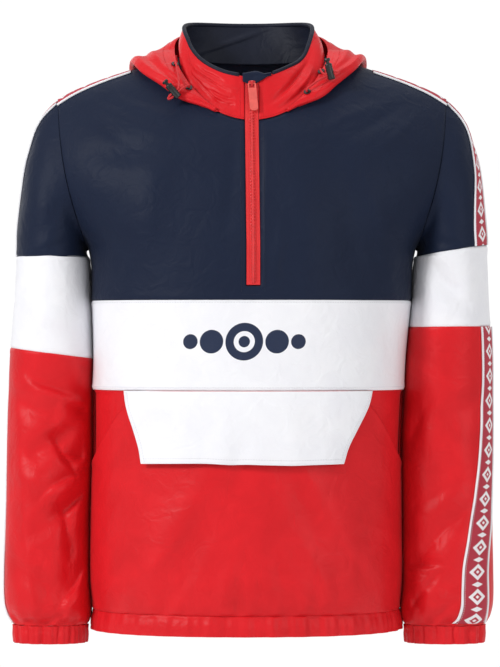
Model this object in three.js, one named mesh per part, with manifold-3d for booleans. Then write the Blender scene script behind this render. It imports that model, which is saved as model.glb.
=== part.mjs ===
// A hooded half-zip windbreaker in three colour bands, standing as it does when it is worn.
// Millimetres, +Z up, the front faces -Y and +X is to the right in a front view.
// The origin is the middle of the neck opening, level with the base of the collar.
import * as THREE from "three";
import { mergeVertices } from "three/addons/utils/BufferGeometryUtils.js";
import Module from "manifold-3d";

const wasm = await Module();
wasm.setup();

// Driving sizes
const CLOTH = 1.6; // wall of the shell cloth
const LINING = 1.2; // wall of the collar's lining
const SEAM = 0.3; // gap between two pieces that are sewn together
const SEAM_HALF = SEAM / 2;
const SIDE_Y = 4; // depth at which the side and shoulder seams run
const SQUARENESS = 2.3; // exponent of the torso's superellipse sections
const RIDGE_DROP = 130; // height over which the shoulder rounds into the chest
const RIDGE_POWER = 2.2;
const BAND_TOP = -282; // dark yoke above, light band below
const BAND_BOTTOM = -386; // light band above, lower body below
const HEM_SEAM = -643.5;
const HEM_BOTTOM = -667;
const ZIP_HALF = 7.8; // half the width of the zip tape
const ZIP_SLIT = ZIP_HALF + 0.6;
const ZIP_END = -266;
const ZIP_TOP_X = -0.3; // middle of the zip at the neckline
const ZIP_SLANT = 2.3; // how far the zip drifts sideways over its length
const NECK_HALF = 85; // half the width of the neckline
const NECK_FRONT = -74.6; // height of the neckline at the front
const NECK_SIDE = 6;
const NECK_BACK = 2;
const TIP = { x: 229, z: -45 }; // shoulder tip
const ARMPIT = { x: 193, z: -222 };
const ARMHOLE_BOW = 7;
const TAPE_HALF = 18; // half the width of the sleeve tape
const TAPE_WALL = 1.1;
const TAPE_OUT = TAPE_WALL + 0.6; // the tape's face stands this far off the cloth
const PIPING = 3; // width of the piping on each edge of the tape
const PIPING_WALL = 1.4;
const PIPING_OUT = PIPING_WALL + 0.7;
const SLEEVE_END = 432; // distance down the sleeve from the underarm to the cuff seam
const CUFF_HEIGHT = 21;

const RAD = Math.PI / 180;
const V = (x, y, z) => new THREE.Vector3(x, y, z);
const clamp = (x, lo, hi) => Math.min(hi, Math.max(lo, x));
const mix = (a, b, t) => a + (b - a) * t;
const smooth = (t) => {
  const k = clamp(t, 0, 1);
  return k * k * (3 - 2 * k);
};
const bump = (x, width) => Math.exp(-((x / width) ** 2));

// Reads one column of a table as a smooth curve over its first column.
function curve(rows, along, column) {
  const x = rows.map((r) => r[along]);
  const y = rows.map((r) => r[column]);
  const last = x.length - 1;
  const slope = y.map((_, i) => {
    const a = Math.max(0, i - 1);
    const b = Math.min(last, i + 1);
    return (y[b] - y[a]) / (x[b] - x[a]);
  });
  return (at) => {
    if (at <= x[0]) return y[0];
    if (at >= x[last]) return y[last];
    let i = 0;
    while (at > x[i + 1]) i += 1;
    const h = x[i + 1] - x[i];
    const t = (at - x[i]) / h;
    const t2 = t * t;
    const t3 = t2 * t;
    return (
      y[i] * (2 * t3 - 3 * t2 + 1) +
      y[i + 1] * (3 * t2 - 2 * t3) +
      slope[i] * h * (t3 - 2 * t2 + t) +
      slope[i + 1] * h * (t3 - t2)
    );
  };
}

// Torso sections from the hem up: half width, depth in front and behind, and sideways sway
const torsoSections = [
  { z: -668, half: 184, front: 140, back: 124, sway: -7 },
  { z: -648, half: 179, front: 138, back: 122, sway: -7 },
  { z: -643.5, half: 179, front: 138, back: 122, sway: -7 },
  { z: -632.5, half: 182.5, front: 143, back: 127, sway: -7 },
  { z: -608, half: 184.5, front: 146, back: 131, sway: -7 },
  { z: -540, half: 184, front: 145, back: 130, sway: -7 },
  { z: -450, half: 182.5, front: 143, back: 126, sway: -6 },
  { z: -386, half: 184, front: 142, back: 124, sway: -4.5 },
  { z: -345, half: 184.5, front: 141, back: 124, sway: -3 },
  { z: -285, half: 188.5, front: 139, back: 127, sway: -1 },
  { z: -222, half: ARMPIT.x, front: 136, back: 130, sway: 0 },
  { z: -190, half: 214, front: 132, back: 130, sway: 0 },
  { z: -150, half: 238, front: 124, back: 126, sway: 0 },
  { z: -100, half: 251, front: 108, back: 116, sway: 0 },
  { z: -45, half: 256, front: 84, back: 96, sway: 0 },
  { z: 30, half: 258, front: 66, back: 72, sway: 0 },
];
const torsoHalf = curve(torsoSections, "z", "half");
const torsoFront = curve(torsoSections, "z", "front");
const torsoBack = curve(torsoSections, "z", "back");
const sway = curve(torsoSections, "z", "sway");

// Height of the shoulder line across the garment
const shoulderLine = [
  { x: 0, z: 20 },
  { x: 45, z: 17 },
  { x: 85, z: NECK_SIDE },
  { x: 110, z: 0.5 },
  { x: 140, z: -9.5 },
  { x: 168, z: -18.5 },
  { x: 190, z: -26.5 },
  { x: 210, z: -35 },
  { x: 229, z: TIP.z },
];
const ridge = curve(shoulderLine, "x", "z");

// Soft folds of the body, each a ridge or trough laid on the sheet
const frontFolds = [
  { x: -95, z: -560, turn: 55, length: 120, width: 22, depth: 5 },
  { x: -50, z: -540, turn: 62, length: 110, width: 16, depth: -4 },
  { x: 110, z: -540, turn: -60, length: 110, width: 20, depth: 5 },
  { x: 140, z: -480, turn: -40, length: 50, width: 16, depth: -5 },
  { x: -140, z: -430, turn: 50, length: 60, width: 18, depth: 5 },
  { x: 120, z: -210, turn: -75, length: 90, width: 20, depth: -5 },
  { x: -130, z: -190, turn: 75, length: 90, width: 24, depth: 5 },
  { x: 165, z: -330, turn: -75, length: 50, width: 12, depth: -6 },
  { x: 60, z: -180, turn: -82, length: 100, width: 22, depth: 4 },
  { x: -150, z: -110, turn: 10, length: 60, width: 16, depth: -5 },
];
const backFolds = [
  { x: -90, z: -210, turn: 80, length: 120, width: 24, depth: 6 },
  { x: 90, z: -230, turn: -80, length: 130, width: 24, depth: 6 },
  { x: 0, z: -330, turn: 90, length: 150, width: 30, depth: -5 },
  { x: -110, z: -520, turn: 70, length: 120, width: 22, depth: -6 },
  { x: 105, z: -540, turn: -72, length: 120, width: 22, depth: -6 },
  { x: 20, z: -590, turn: 84, length: 70, width: 18, depth: 5 },
];

function foldSum(folds, a, b) {
  let sum = 0;
  for (const f of folds) {
    const c = Math.cos(f.turn * RAD);
    const s = Math.sin(f.turn * RAD);
    const along = (a - f.x) * c + (b - f.z) * s;
    const across = -(a - f.x) * s + (b - f.z) * c;
    sum += f.depth * bump(along, f.length) * bump(across, f.width);
  }
  return sum;
}

// Share of the full depth reached at a height below the shoulder line.
function rounding(drop) {
  const t = clamp(drop / RIDGE_DROP, 0, 1);
  return (1 - (1 - t) ** RIDGE_POWER) ** (1 / RIDGE_POWER);
}

// The armhole seam's distance from the middle at a height.
function armholeX(z) {
  const s = clamp((TIP.z - z) / (TIP.z - ARMPIT.z), 0, 1);
  return mix(TIP.x, ARMPIT.x, s) + ARMHOLE_BOW * Math.sin(Math.PI * s);
}

// The outermost point of a body panel at a height: shoulder tip, armhole or side seam.
function edgeX(z) {
  if (z >= TIP.z) return TIP.x;
  return z > ARMPIT.z ? armholeX(z) : torsoHalf(z);
}

// Distance of the body sheet from the plane of the side seams. side is -1 in front and 1 behind.
function sheetDepth(side, x, z) {
  const full = side < 0 ? torsoFront(z) : torsoBack(z);
  const share = clamp(Math.abs(x) / torsoHalf(z), 0, 1);
  const flat = (1 - share ** SQUARENESS) ** (1 / SQUARENESS);
  const fade = 1 - clamp(Math.abs(x) / edgeX(z), 0, 1) ** 6;
  const low = smooth((z - HEM_SEAM) / 25);
  const high = smooth((ridge(Math.abs(x)) - z - 12) / 60);
  const folds = foldSum(side < 0 ? frontFolds : backFolds, x, z);
  return rounding(ridge(Math.abs(x)) - z) * full * flat + folds * fade * low * high;
}

function sheetPoint(side, x, z) {
  return V(x + sway(z), SIDE_Y + side * sheetDepth(side, x, z), z);
}

// Outward direction of the body sheet.
function sheetNormal(side, x, z) {
  if (Math.abs(x) > edgeX(z) - 1.5 && z <= ARMPIT.z) return V(Math.sign(x), 0, 0);
  if (ridge(Math.abs(x)) - z < 0.6) {
    const slope = (ridge(Math.abs(x) + 1) - ridge(Math.abs(x) - 1)) / 2;
    return V(-Math.sign(x) * slope, 0, 1).normalize();
  }
  const e = 0.5;
  const limit = edgeX(z) - 0.2;
  const xa = clamp(x - e, -limit, limit);
  const xb = clamp(x + e, -limit, limit);
  const a = sheetPoint(side, xb, z).sub(sheetPoint(side, xa, z));
  const b = sheetPoint(side, x, z + e).sub(sheetPoint(side, x, z - e));
  return a.cross(b).multiplyScalar(side < 0 ? 1 : -1).normalize();
}

// Height of the neckline over a distance from the middle.
function neckZ(side, x) {
  const share = clamp(Math.abs(x) / NECK_HALF, 0, 1);
  if (side < 0) {
    return NECK_FRONT + (NECK_SIDE - NECK_FRONT) * (1 - Math.sqrt(1 - share ** 1.9));
  }
  return mix(NECK_BACK, NECK_SIDE, share ** 2);
}

// Top edge of a body panel: neckline, then shoulder seam.
function topZ(side, x) {
  return Math.abs(x) < NECK_HALF ? neckZ(side, x) : ridge(Math.abs(x));
}

// A closed cloth wall over a grid of outer points. keep leaves cells out, closed joins the last column to the first.
function wall(points, normals, thickness, { closed = false, keep = () => true } = {}) {
  const columns = points.length;
  const rows = points[0].length;
  const cellsAcross = closed ? columns : columns - 1;
  const cellsUp = rows - 1;
  const flat = [];
  const count = columns * rows;
  for (const layer of [0, thickness]) {
    for (let i = 0; i < columns; i += 1) {
      for (let j = 0; j < rows; j += 1) {
        const p = points[i][j].clone().addScaledVector(normals[i][j], -layer);
        flat.push(p.x, p.y, p.z);
      }
    }
  }
  const at = (i, j) => (i % columns) * rows + j;
  const kept = (i, j) => {
    if (j < 0 || j >= cellsUp) return false;
    if (!closed && (i < 0 || i >= cellsAcross)) return false;
    return keep((i + cellsAcross) % cellsAcross, j);
  };
  const index = [];
  const quad = (a, b, c, d) => index.push(a, b, c, a, c, d);
  const rim = (a, b) => quad(b, a, a + count, b + count);
  for (let i = 0; i < cellsAcross; i += 1) {
    for (let j = 0; j < cellsUp; j += 1) {
      if (!kept(i, j)) continue;
      const a = at(i, j);
      const b = at(i + 1, j);
      const c = at(i + 1, j + 1);
      const d = at(i, j + 1);
      quad(a, b, c, d);
      index.push(a + count, c + count, b + count, a + count, d + count, c + count);
      if (!kept(i, j - 1)) rim(a, b);
      if (!kept(i + 1, j)) rim(b, c);
      if (!kept(i, j + 1)) rim(c, d);
      if (!kept(i - 1, j)) rim(d, a);
    }
  }
  return facingOut(flat, index);
}

// A geometry whose faces point outwards.
function facingOut(flat, index) {
  let volume = 0;
  const p = (i) => V(flat[3 * i], flat[3 * i + 1], flat[3 * i + 2]);
  for (let i = 0; i < index.length; i += 3) {
    volume += p(index[i]).dot(p(index[i + 1]).cross(p(index[i + 2])));
  }
  if (volume < 0) {
    for (let i = 0; i < index.length; i += 3) {
      [index[i + 1], index[i + 2]] = [index[i + 2], index[i + 1]];
    }
  }
  const geometry = new THREE.BufferGeometry();
  geometry.setAttribute("position", new THREE.Float32BufferAttribute(flat, 3));
  geometry.setIndex(index);
  return geometry;
}

// Directions square to a grid of points that bends too tightly for a formula. facing is 1 or -1.
function gridNormals(points, facing) {
  const lastColumn = points.length - 1;
  const lastRow = points[0].length - 1;
  return points.map((line, i) =>
    line.map((_, j) => {
      const a = points[Math.min(lastColumn, i + 1)][j].clone().sub(points[Math.max(0, i - 1)][j]);
      const b = line[Math.min(lastRow, j + 1)].clone().sub(line[Math.max(0, j - 1)]);
      return a.cross(b).normalize().multiplyScalar(facing);
    }),
  );
}

const HOOD_FACING = -1;
const GUARD_FACING = 1;
const red = [0.8, 0.03, 0.05];
const navy = [0.03, 0.045, 0.09];
const white = [0.86, 0.86, 0.88];
const tapeRed = [0.55, 0.03, 0.06];
const black = [0.02, 0.02, 0.02];
const garment = new THREE.Group();

function add(name, geometry, colour, roughness = 0.6) {
  const material = new THREE.MeshStandardMaterial({
    color: new THREE.Color(...colour),
    roughness,
    metalness: 0,
  });
  const mesh = new THREE.Mesh(geometry, material);
  mesh.name = name;
  garment.add(mesh);
  return mesh;
}

// Shares of a panel's half width at which its columns run. One lies at the neck point of the shoulder seam.
const NECK_SHARE = NECK_HALF / TIP.x;
const halfColumns = [0.11, 0.22, 0.32, NECK_SHARE, 0.46, 0.56, 0.67, 0.77, 0.86, 0.93, 0.98, 1];
const yokeRows = [0, 0.05, 0.12, 0.22, 0.34, 0.48, 0.63, 0.78, 0.9233, 1];

// A body panel. rowsAt gives the heights of one column, and column is a share of the half width or the zip's edge.
function bodyPanel(side, rowsAt, options = {}) {
  const { zipEdge = false, out = 0, keep } = options;
  const middle = zipEdge ? ["left", "right"] : [0];
  const columns = [...halfColumns.map((c) => -c).reverse(), ...middle, ...halfColumns];
  const points = [];
  const normals = [];
  for (const c of columns) {
    const shareNow = typeof c === "string" ? 0 : c;
    const heights = rowsAt(shareNow * TIP.x, shareNow);
    const line = [];
    const directions = [];
    heights.forEach((z, j) => {
      let x = shareNow * edgeX(z);
      if (c === "left") x = zipX(z) - ZIP_SLIT;
      if (c === "right") x = zipX(z) + ZIP_SLIT;
      const n = sheetNormal(side, x, z);
      const p = sheetPoint(side, x, z).addScaledVector(n, out);
      const atSide = Math.abs(shareNow) === 1;
      if (atSide && z < ARMPIT.z + 1) p.y += side * 0.2;
      if (atSide && z >= ARMPIT.z + 1) p.x -= Math.sign(x) * 0.2;
      if (j === 0 && Math.abs(x) >= NECK_HALF - 0.5 && z > TIP.z - 1) p.y += side * 0.2;
      line.push(p);
      directions.push(n);
    });
    points.push(line);
    normals.push(directions);
  }
  return wall(points, normals, CLOTH, { keep });
}

function zipX(z) {
  return ZIP_TOP_X + ZIP_SLANT * clamp((NECK_FRONT - z) / (NECK_FRONT - ZIP_END), 0, 1);
}

const rowsBetween = (top, bottom, shares) => shares.map((s) => mix(top, bottom, s));
const evenly = (n) => Array.from({ length: n + 1 }, (_, i) => i / n);

// Yoke, band and lower body, in front and behind
function yoke(side) {
  const slit = halfColumns.length;
  const zipCell = (i, j) => side > 0 || i !== slit || j >= yokeRows.length - 2;
  return bodyPanel(
    side,
    (x) => rowsBetween(topZ(side, x), BAND_TOP + SEAM_HALF, yokeRows),
    { zipEdge: side < 0, keep: zipCell },
  );
}

function band(side) {
  return bodyPanel(side, () =>
    rowsBetween(BAND_TOP - SEAM_HALF, BAND_BOTTOM + SEAM_HALF, evenly(3)),
  );
}

// The pocket mouths cut the two top corners off the lower front: height of its top edge over the distance from the middle.
const pocketMouth = [
  { x: 118, z: -389 },
  { x: 137, z: -400 },
  { x: 151, z: -413 },
  { x: 166, z: -436 },
  { x: 184, z: -470 },
];
const mouth = curve(pocketMouth, "x", "z");
const lowerRows = [0, 0.13, 0.29, 0.46, 0.63, 0.79, 0.92, 1];

function lowerBody(side) {
  return bodyPanel(side, (_, shareNow) => {
    const x = Math.abs(shareNow) * torsoHalf(BAND_BOTTOM);
    const top = side < 0 && x > 118 ? mouth(x) : BAND_BOTTOM - SEAM_HALF;
    return rowsBetween(Math.min(top, BAND_BOTTOM - SEAM_HALF), HEM_SEAM + SEAM_HALF, lowerRows);
  });
}

// The part of the body that shows inside each pocket mouth, set back under the lower front
function pocketFacing(sign) {
  const shares = [0.56, 0.67, 0.77, 0.86, 0.93, 0.98, 1].map((s) => s * sign);
  const depthBelow = [40, 46, 56, 72, 92, 104, 104];
  const points = [];
  const normals = [];
  shares.forEach((share, k) => {
    const bottom = BAND_BOTTOM - depthBelow[k];
    const line = [];
    const directions = [];
    for (const z of rowsBetween(BAND_BOTTOM - SEAM_HALF - 0.3, bottom, evenly(3))) {
      const sink = line.length === 0 ? -(CLOTH + 0.4) : -(CLOTH + 1.8);
      const x = share * edgeX(z);
      const n = sheetNormal(-1, x, z);
      const p = sheetPoint(-1, x, z).addScaledVector(n, sink);
      if (Math.abs(share) === 1) p.y -= 0.4;
      line.push(p);
      directions.push(n);
    }
    points.push(line);
    normals.push(directions);
  });
  return wall(points, normals, CLOTH * 0.75);
}

// Pocket flap: outline in the front view, and how far it stands off the lower front
const flapOutline = [
  { z: -386.6, left: -143, right: 143, lift: 2 },
  { z: -404, left: -138, right: 137, lift: 5 },
  { z: -430, left: -129, right: 124, lift: 6.4 },
  { z: -452, left: -121, right: 113, lift: 8 },
  { z: -470, left: -117, right: 107, lift: 9 },
];

function pocketFlap() {
  const rows = [...flapOutline].reverse();
  const left = curve(rows, "z", "left");
  const right = curve(rows, "z", "right");
  const lift = curve(rows, "z", "lift");
  const points = [];
  const normals = [];
  const half = halfColumns.filter((c) => c < 0.8);
  const widest = half[half.length - 1];
  for (const c of [...half.map((v) => -v).reverse(), 0, ...half]) {
    const line = [];
    const directions = [];
    for (const { z } of flapOutline) {
      const x = (Math.abs(c) / widest) * (c < 0 ? left(z) : right(z));
      const n = sheetNormal(-1, x, z);
      line.push(sheetPoint(-1, x, z).addScaledVector(n, lift(z)));
      directions.push(n);
    }
    points.push(line);
    normals.push(directions);
  }
  return wall(points, normals, CLOTH);
}

// Elastic waistband, drawn in by even gathers
function waistband() {
  const gathers = 36;
  const perGather = 3;
  const columns = gathers * perGather;
  const wave = 1.6;
  const points = [];
  const normals = [];
  for (let k = 0; k < columns; k += 1) {
    const angle = (k / columns) * 2 * Math.PI;
    const line = [];
    const directions = [];
    for (const z of rowsBetween(HEM_SEAM - SEAM_HALF, HEM_BOTTOM, evenly(2))) {
      const side = Math.cos(angle) > 0 ? -1 : 1;
      const depth = side < 0 ? torsoFront(z) : torsoBack(z);
      const power = 2 / SQUARENESS;
      const c = Math.cos(angle);
      const s = Math.sin(angle);
      const x = torsoHalf(z) * Math.sign(s) * Math.abs(s) ** power;
      const y = SIDE_Y + side * depth * Math.abs(c) ** power;
      const n = V(x / torsoHalf(z) ** 2, (y - SIDE_Y) / depth ** 2, 0).normalize();
      const push = wave * Math.cos(k * ((2 * Math.PI) / perGather)) - 0.4;
      line.push(V(x + sway(z), y, z).addScaledVector(n, push));
      directions.push(n);
    }
    points.push(line);
    normals.push(directions);
  }
  return wall(points, normals, CLOTH, { closed: true });
}

// Sleeves. A station below 0 is a plane fanned about the underarm, in degrees from level, and above 0 it is millimetres down the arm.
const PIVOT_INSET = 8;
const UNDERARM_REACH = 3.5; // the sleeve's inner line from the pivot, level with it
const armholeTurn = Math.atan2(TIP.z - ARMPIT.z, TIP.x - ARMPIT.x) / RAD;
const PIVOT = {
  x: ARMPIT.x - PIVOT_INSET * Math.cos(armholeTurn * RAD),
  z: ARMPIT.z - PIVOT_INSET * Math.sin(armholeTurn * RAD),
};
const ARMHOLE = -armholeTurn;

// Reach of the sleeve from the underarm pivot, and its half depth, over the fan
const fanSections = [
  { turn: 0, reach: 86.1, halfDepth: 66 },
  { turn: 12, reach: 88, halfDepth: 66 },
  { turn: 31, reach: 97, halfDepth: 66 },
  { turn: 46, reach: 114, halfDepth: 66 },
  { turn: 60, reach: 143, halfDepth: 66 },
  { turn: 70, reach: 171, halfDepth: 65 },
  { turn: armholeTurn, reach: 188, halfDepth: 62 },
];
const fanReach = curve(fanSections, "turn", "reach");
const fanDepth = curve(fanSections, "turn", "halfDepth");

// Sleeve sections down the arm: outer line in the front view, gap to the body, half depth and centre depth
const sleeveSections = [
  { down: 0, outer: 277.5, gap: 2.7, halfDepth: 66, y: 5 },
  { down: 50, outer: 280, gap: 1.5, halfDepth: 65, y: 6 },
  { down: 110, outer: 284, gap: 1, halfDepth: 62, y: 7 },
  { down: 200, outer: 286, gap: 1, halfDepth: 59, y: 6 },
  { down: 300, outer: 286.5, gap: 1, halfDepth: 58, y: 0 },
  { down: 370, outer: 287.5, gap: 1, halfDepth: 57, y: -6 },
  { down: 405, outer: 287, gap: 1.5, halfDepth: 54, y: -9 },
  { down: 422, outer: 283, gap: 3.2, halfDepth: 47, y: -10 },
  { down: 432, outer: 277, gap: 5.8, halfDepth: 37, y: -11 },
  { down: 453, outer: 276, gap: 5.2, halfDepth: 36, y: -12 },
];
const sleeveOuter = curve(sleeveSections, "down", "outer");
const sleeveGap = curve(sleeveSections, "down", "gap");
const sleeveDepth = curve(sleeveSections, "down", "halfDepth");
const sleeveY = curve(sleeveSections, "down", "y");

// Folds of the sleeves. The angle runs round the sleeve from its outermost line towards the front.
const sleeveFolds = {
  right: [
    { angle: 60, down: 175, slope: 0.35, spread: 38, width: 14, depth: -6 },
    { angle: 95, down: 215, slope: -0.5, spread: 32, width: 13, depth: -8 },
    { angle: 80, down: 262, slope: 0.2, spread: 36, width: 14, depth: 5 },
    { angle: 105, down: 300, slope: -0.7, spread: 34, width: 16, depth: -6 },
    { angle: 70, down: 372, slope: 0.5, spread: 36, width: 14, depth: -4 },
    { angle: 200, down: 240, slope: 0.3, spread: 50, width: 18, depth: -7 },
    { angle: 240, down: 320, slope: -0.3, spread: 45, width: 18, depth: -6 },
    { angle: 90, down: 70, slope: 0.4, spread: 40, width: 12, depth: 3 },
  ],
  left: [
    { angle: 95, down: 40, slope: -0.6, spread: 36, width: 14, depth: -5 },
    { angle: 70, down: 180, slope: 0.3, spread: 40, width: 16, depth: -4 },
    { angle: 100, down: 250, slope: -0.5, spread: 36, width: 16, depth: -5 },
    { angle: 60, down: 330, slope: 0.5, spread: 40, width: 18, depth: 4 },
    { angle: 95, down: 385, slope: -0.5, spread: 34, width: 12, depth: -5 },
    { angle: 205, down: 240, slope: 0.3, spread: 50, width: 18, depth: -7 },
    { angle: 245, down: 310, slope: -0.3, spread: 45, width: 18, depth: -6 },
  ],
};

function sleeveFold(name, angle, down) {
  let sum = 0;
  for (const f of sleeveFolds[name]) {
    const turn = ((angle - f.angle + 540) % 360) - 180;
    sum += f.depth * bump(turn, f.spread) * bump(down - f.down - f.slope * turn, f.width);
  }
  return sum * (1 - smooth((down - 395) / 30));
}

// Depth of the armhole seam on one side at a height.
function armholeDepth(side, z) {
  return SIDE_Y + side * sheetDepth(side, armholeX(z), z);
}

// One point of a sleeve's outer surface. angle 0 is the outermost line and 90 is the front.
function sleevePoint(name, station, angle) {
  const sign = name === "left" ? 1 : -1;
  const c = Math.cos(angle * RAD);
  const s = Math.sin(angle * RAD);
  const outward = (1 + c) / 2;
  if (station < 0) {
    const turn = -station;
    const near = mix(UNDERARM_REACH, PIVOT_INSET, smooth(turn / armholeTurn));
    const along = mix(near, fanReach(turn), outward);
    const shareToArmhole = smooth((turn - 30) / (armholeTurn - 30));
    const heightOnArmhole = mix(ARMPIT.z, TIP.z, outward);
    const seamY = armholeDepth(s >= 0 ? -1 : 1, heightOnArmhole);
    const bow = ARMHOLE_BOW * Math.sin(Math.PI * (1 - outward)) * shareToArmhole ** 3;
    const roundY = 5 - fanDepth(turn) * Math.sign(s) * Math.abs(s) ** 0.92;
    const y = mix(roundY, seamY, shareToArmhole ** 2);
    const x = PIVOT.x + along * Math.cos(turn * RAD) + bow;
    const z = PIVOT.z + along * Math.sin(turn * RAD);
    return V(sign * x, y, z);
  }
  const z = PIVOT.z - station;
  const outer = sign * sleeveOuter(station) + sway(z) / 2;
  const inner = sign * (torsoHalf(z) + sleeveGap(station)) + sway(z);
  const middle = (outer + inner) / 2;
  const half = (outer - inner) / 2;
  const fold = sleeveFold(name, angle, station) * (outward < 0.12 ? outward / 0.12 : 1);
  const y = sleeveY(station) - (sleeveDepth(station) + fold) * Math.sign(s) * Math.abs(s) ** 0.92;
  return V(middle + (half + (c > 0 ? sign * fold * c * 0.5 : 0)) * Math.sign(c) * Math.abs(c) ** 0.92, y, z);
}

// Where the tape's middle runs round each sleeve, in degrees. The sleeves turn differently from shoulder to cuff.
const tapeLine = [
  { station: -80, left: 0, right: 0 },
  { station: -68, left: 4, right: -3 },
  { station: -60, left: 14, right: -5 },
  { station: -45, left: 29, right: -9.3 },
  { station: -30, left: 36, right: -14 },
  { station: -15, left: 38, right: -20 },
  { station: 40, left: 32, right: -26 },
  { station: 86, left: 28, right: -27.5 },
  { station: 150, left: 26, right: -28 },
  { station: 220, left: 29.5, right: -28 },
  { station: 274, left: 37, right: -27 },
  { station: 329, left: 49, right: -22 },
  { station: 370, left: 56, right: -16 },
  { station: 432, left: 53, right: -8 },
];
const tapeMiddle = {
  left: curve(tapeLine, "station", "left"),
  right: curve(tapeLine, "station", "right"),
};
const SLEEVE_COLUMNS = 16;

// Angle round the sleeve of a mesh column. The first three columns are the tape's back edge, middle and front edge.
function columnAngle(name, station, column) {
  const depth = station < 0 ? fanDepth(-station) : sleeveDepth(station);
  const spread = TAPE_HALF / depth / RAD;
  const rest = 360 - 2 * spread;
  const offset = column < 3 ? (column - 1) * spread : spread + (rest * (column - 2)) / (SLEEVE_COLUMNS - 2);
  return tapeMiddle[name](station) + offset;
}

function sleeveGrid(name, stations, columns, out = 0) {
  const points = [];
  for (const column of columns) {
    points.push(
      stations.map((stationAt) => {
        const station = typeof stationAt === "function" ? stationAt(column) : stationAt;
        const p = sleevePoint(name, station, columnAngle(name, station, column));
        if (station === ARMHOLE) p.x += name === "left" ? 0.2 : -0.2;
        return p;
      }),
    );
  }
  const axis = (i, j) => {
    const station = typeof stations[j] === "function" ? stations[j](columns[i]) : stations[j];
    const a = sleevePoint(name, station, 0);
    const b = sleevePoint(name, station, 180);
    return a.add(b).multiplyScalar(0.5);
  };
  return { points, axis, out };
}

// Directions for a sleeve's wall: level with its own ring, so that neighbouring pieces meet squarely.
function sleeveNormals(name, points, stations, columns) {
  return points.map((line, i) =>
    line.map((_, j) => {
      const station = typeof stations[j] === "function" ? stations[j](columns[i]) : stations[j];
      const angle = columnAngle(name, station, columns[i]);
      const a = sleevePoint(name, station, angle - 1);
      const b = sleevePoint(name, station, angle + 1);
      const down = sleeveDirection(name, station);
      const n = b.sub(a).cross(down).normalize();
      const centre = sleevePoint(name, station, 0).add(sleevePoint(name, station, 180)).multiplyScalar(0.5);
      const here = sleevePoint(name, station, angle).sub(centre);
      return n.dot(here) < 0 ? n.negate() : n;
    }),
  );
}

// Direction square to a sleeve's surface, for what is laid on it
function sleeveFace(name, stations, columns) {
  return columns.map((column) =>
    stations.map((stationAt) => {
      const station = typeof stationAt === "function" ? stationAt(column) : stationAt;
      const angle = columnAngle(name, station, column);
      const e = station < 0 ? 0.8 : 1.5;
      const low = Math.max(ARMHOLE, station - e);
      const high = station < 0 ? Math.min(0, station + e) : station + e;
      const a = sleevePoint(name, station, angle + 1).sub(sleevePoint(name, station, angle - 1));
      const b = sleevePoint(name, high, angle).sub(sleevePoint(name, low, angle));
      const n = a.cross(b).normalize();
      const middle = sleevePoint(name, station, 0).add(sleevePoint(name, station, 180)).multiplyScalar(0.5);
      const here = sleevePoint(name, station, angle).sub(middle);
      return n.dot(here) < 0 ? n.negate() : n;
    }),
  );
}

function sleeveDirection(name, station) {
  if (station >= 0) return V(0, 0, -1);
  const sign = name === "left" ? 1 : -1;
  return V(sign * Math.sin(-station * RAD), 0, -Math.cos(station * RAD));
}

const allColumns = Array.from({ length: SLEEVE_COLUMNS }, (_, i) => i);

function sleeveTube(name, stations) {
  const { points } = sleeveGrid(name, stations, allColumns);
  return wall(points, sleeveNormals(name, points, stations, allColumns), CLOTH, { closed: true });
}

// Seams across each sleeve: yoke to band, and band to lower sleeve, which slants on one side
const sleeveSeams = {
  right: { first: 0, second: 113.5, slant: 6.5 },
  left: { first: -9, second: 82.5, slant: 0.5 },
};

function secondSeam(name, shift) {
  const { second, slant } = sleeveSeams[name];
  return (column) => second + shift - slant * Math.cos(columnAngle(name, second, column) * RAD);
}

function betweenSeams(from, to, share) {
  return (column) => mix(typeof from === "function" ? from(column) : from, to, share);
}

const capStations = {
  right: [ARMHOLE, -70, -61, -51, -41, -30, -15, -0.3],
  left: [ARMHOLE, -70, -61, -51, -41, -30, -20, -9.3],
};
const bandStations = {
  right: [0, 28, 56, 84, secondSeam("right", -SEAM_HALF)],
  left: [-9, 0, 28, 56, secondSeam("left", -SEAM_HALF)],
};

function lowerStations(name) {
  const top = secondSeam(name, SEAM_HALF);
  const shares = [0, 0.11, 0.23, 0.35, 0.47, 0.59, 0.72, 0.86];
  const last = [405, 419, 427.5, SLEEVE_END - SEAM_HALF];
  return [...shares.map((s) => betweenSeams(top, last[0], s)), ...last];
}

// Elastic cuff with gathers
function cuff(name) {
  const gathers = 16;
  const perGather = 3;
  const wave = 1.5;
  const count = gathers * perGather;
  const stations = [SLEEVE_END + SEAM_HALF, SLEEVE_END + CUFF_HEIGHT / 2, SLEEVE_END + CUFF_HEIGHT];
  const points = [];
  const normals = [];
  for (let k = 0; k < count; k += 1) {
    const angle = (k / count) * 360;
    const line = [];
    const directions = [];
    for (const station of stations) {
      const a = sleevePoint(name, station, angle - 2);
      const b = sleevePoint(name, station, angle + 2);
      const n = b.sub(a).cross(V(0, 0, -1)).normalize();
      const p = sleevePoint(name, station, angle);
      const centre = sleevePoint(name, station, 0).add(sleevePoint(name, station, 180)).multiplyScalar(0.5);
      if (n.dot(p.clone().sub(centre)) < 0) n.negate();
      line.push(p.addScaledVector(n, wave * Math.cos((k * 2 * Math.PI) / perGather) - 0.5));
      directions.push(n);
    }
    points.push(line);
    normals.push(directions);
  }
  return wall(points, normals, CLOTH, { closed: true });
}

// A strip that lies on the sleeve along its first three mesh columns
function sleeveTape(name, stations) {
  const columns = [0, 1, 2];
  const { points } = sleeveGrid(name, stations, columns);
  const normals = sleeveFace(name, stations, columns);
  points.forEach((line, i) => line.forEach((p, j) => p.addScaledVector(normals[i][j], TAPE_OUT)));
  return wall(points, normals, TAPE_WALL);
}

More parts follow.
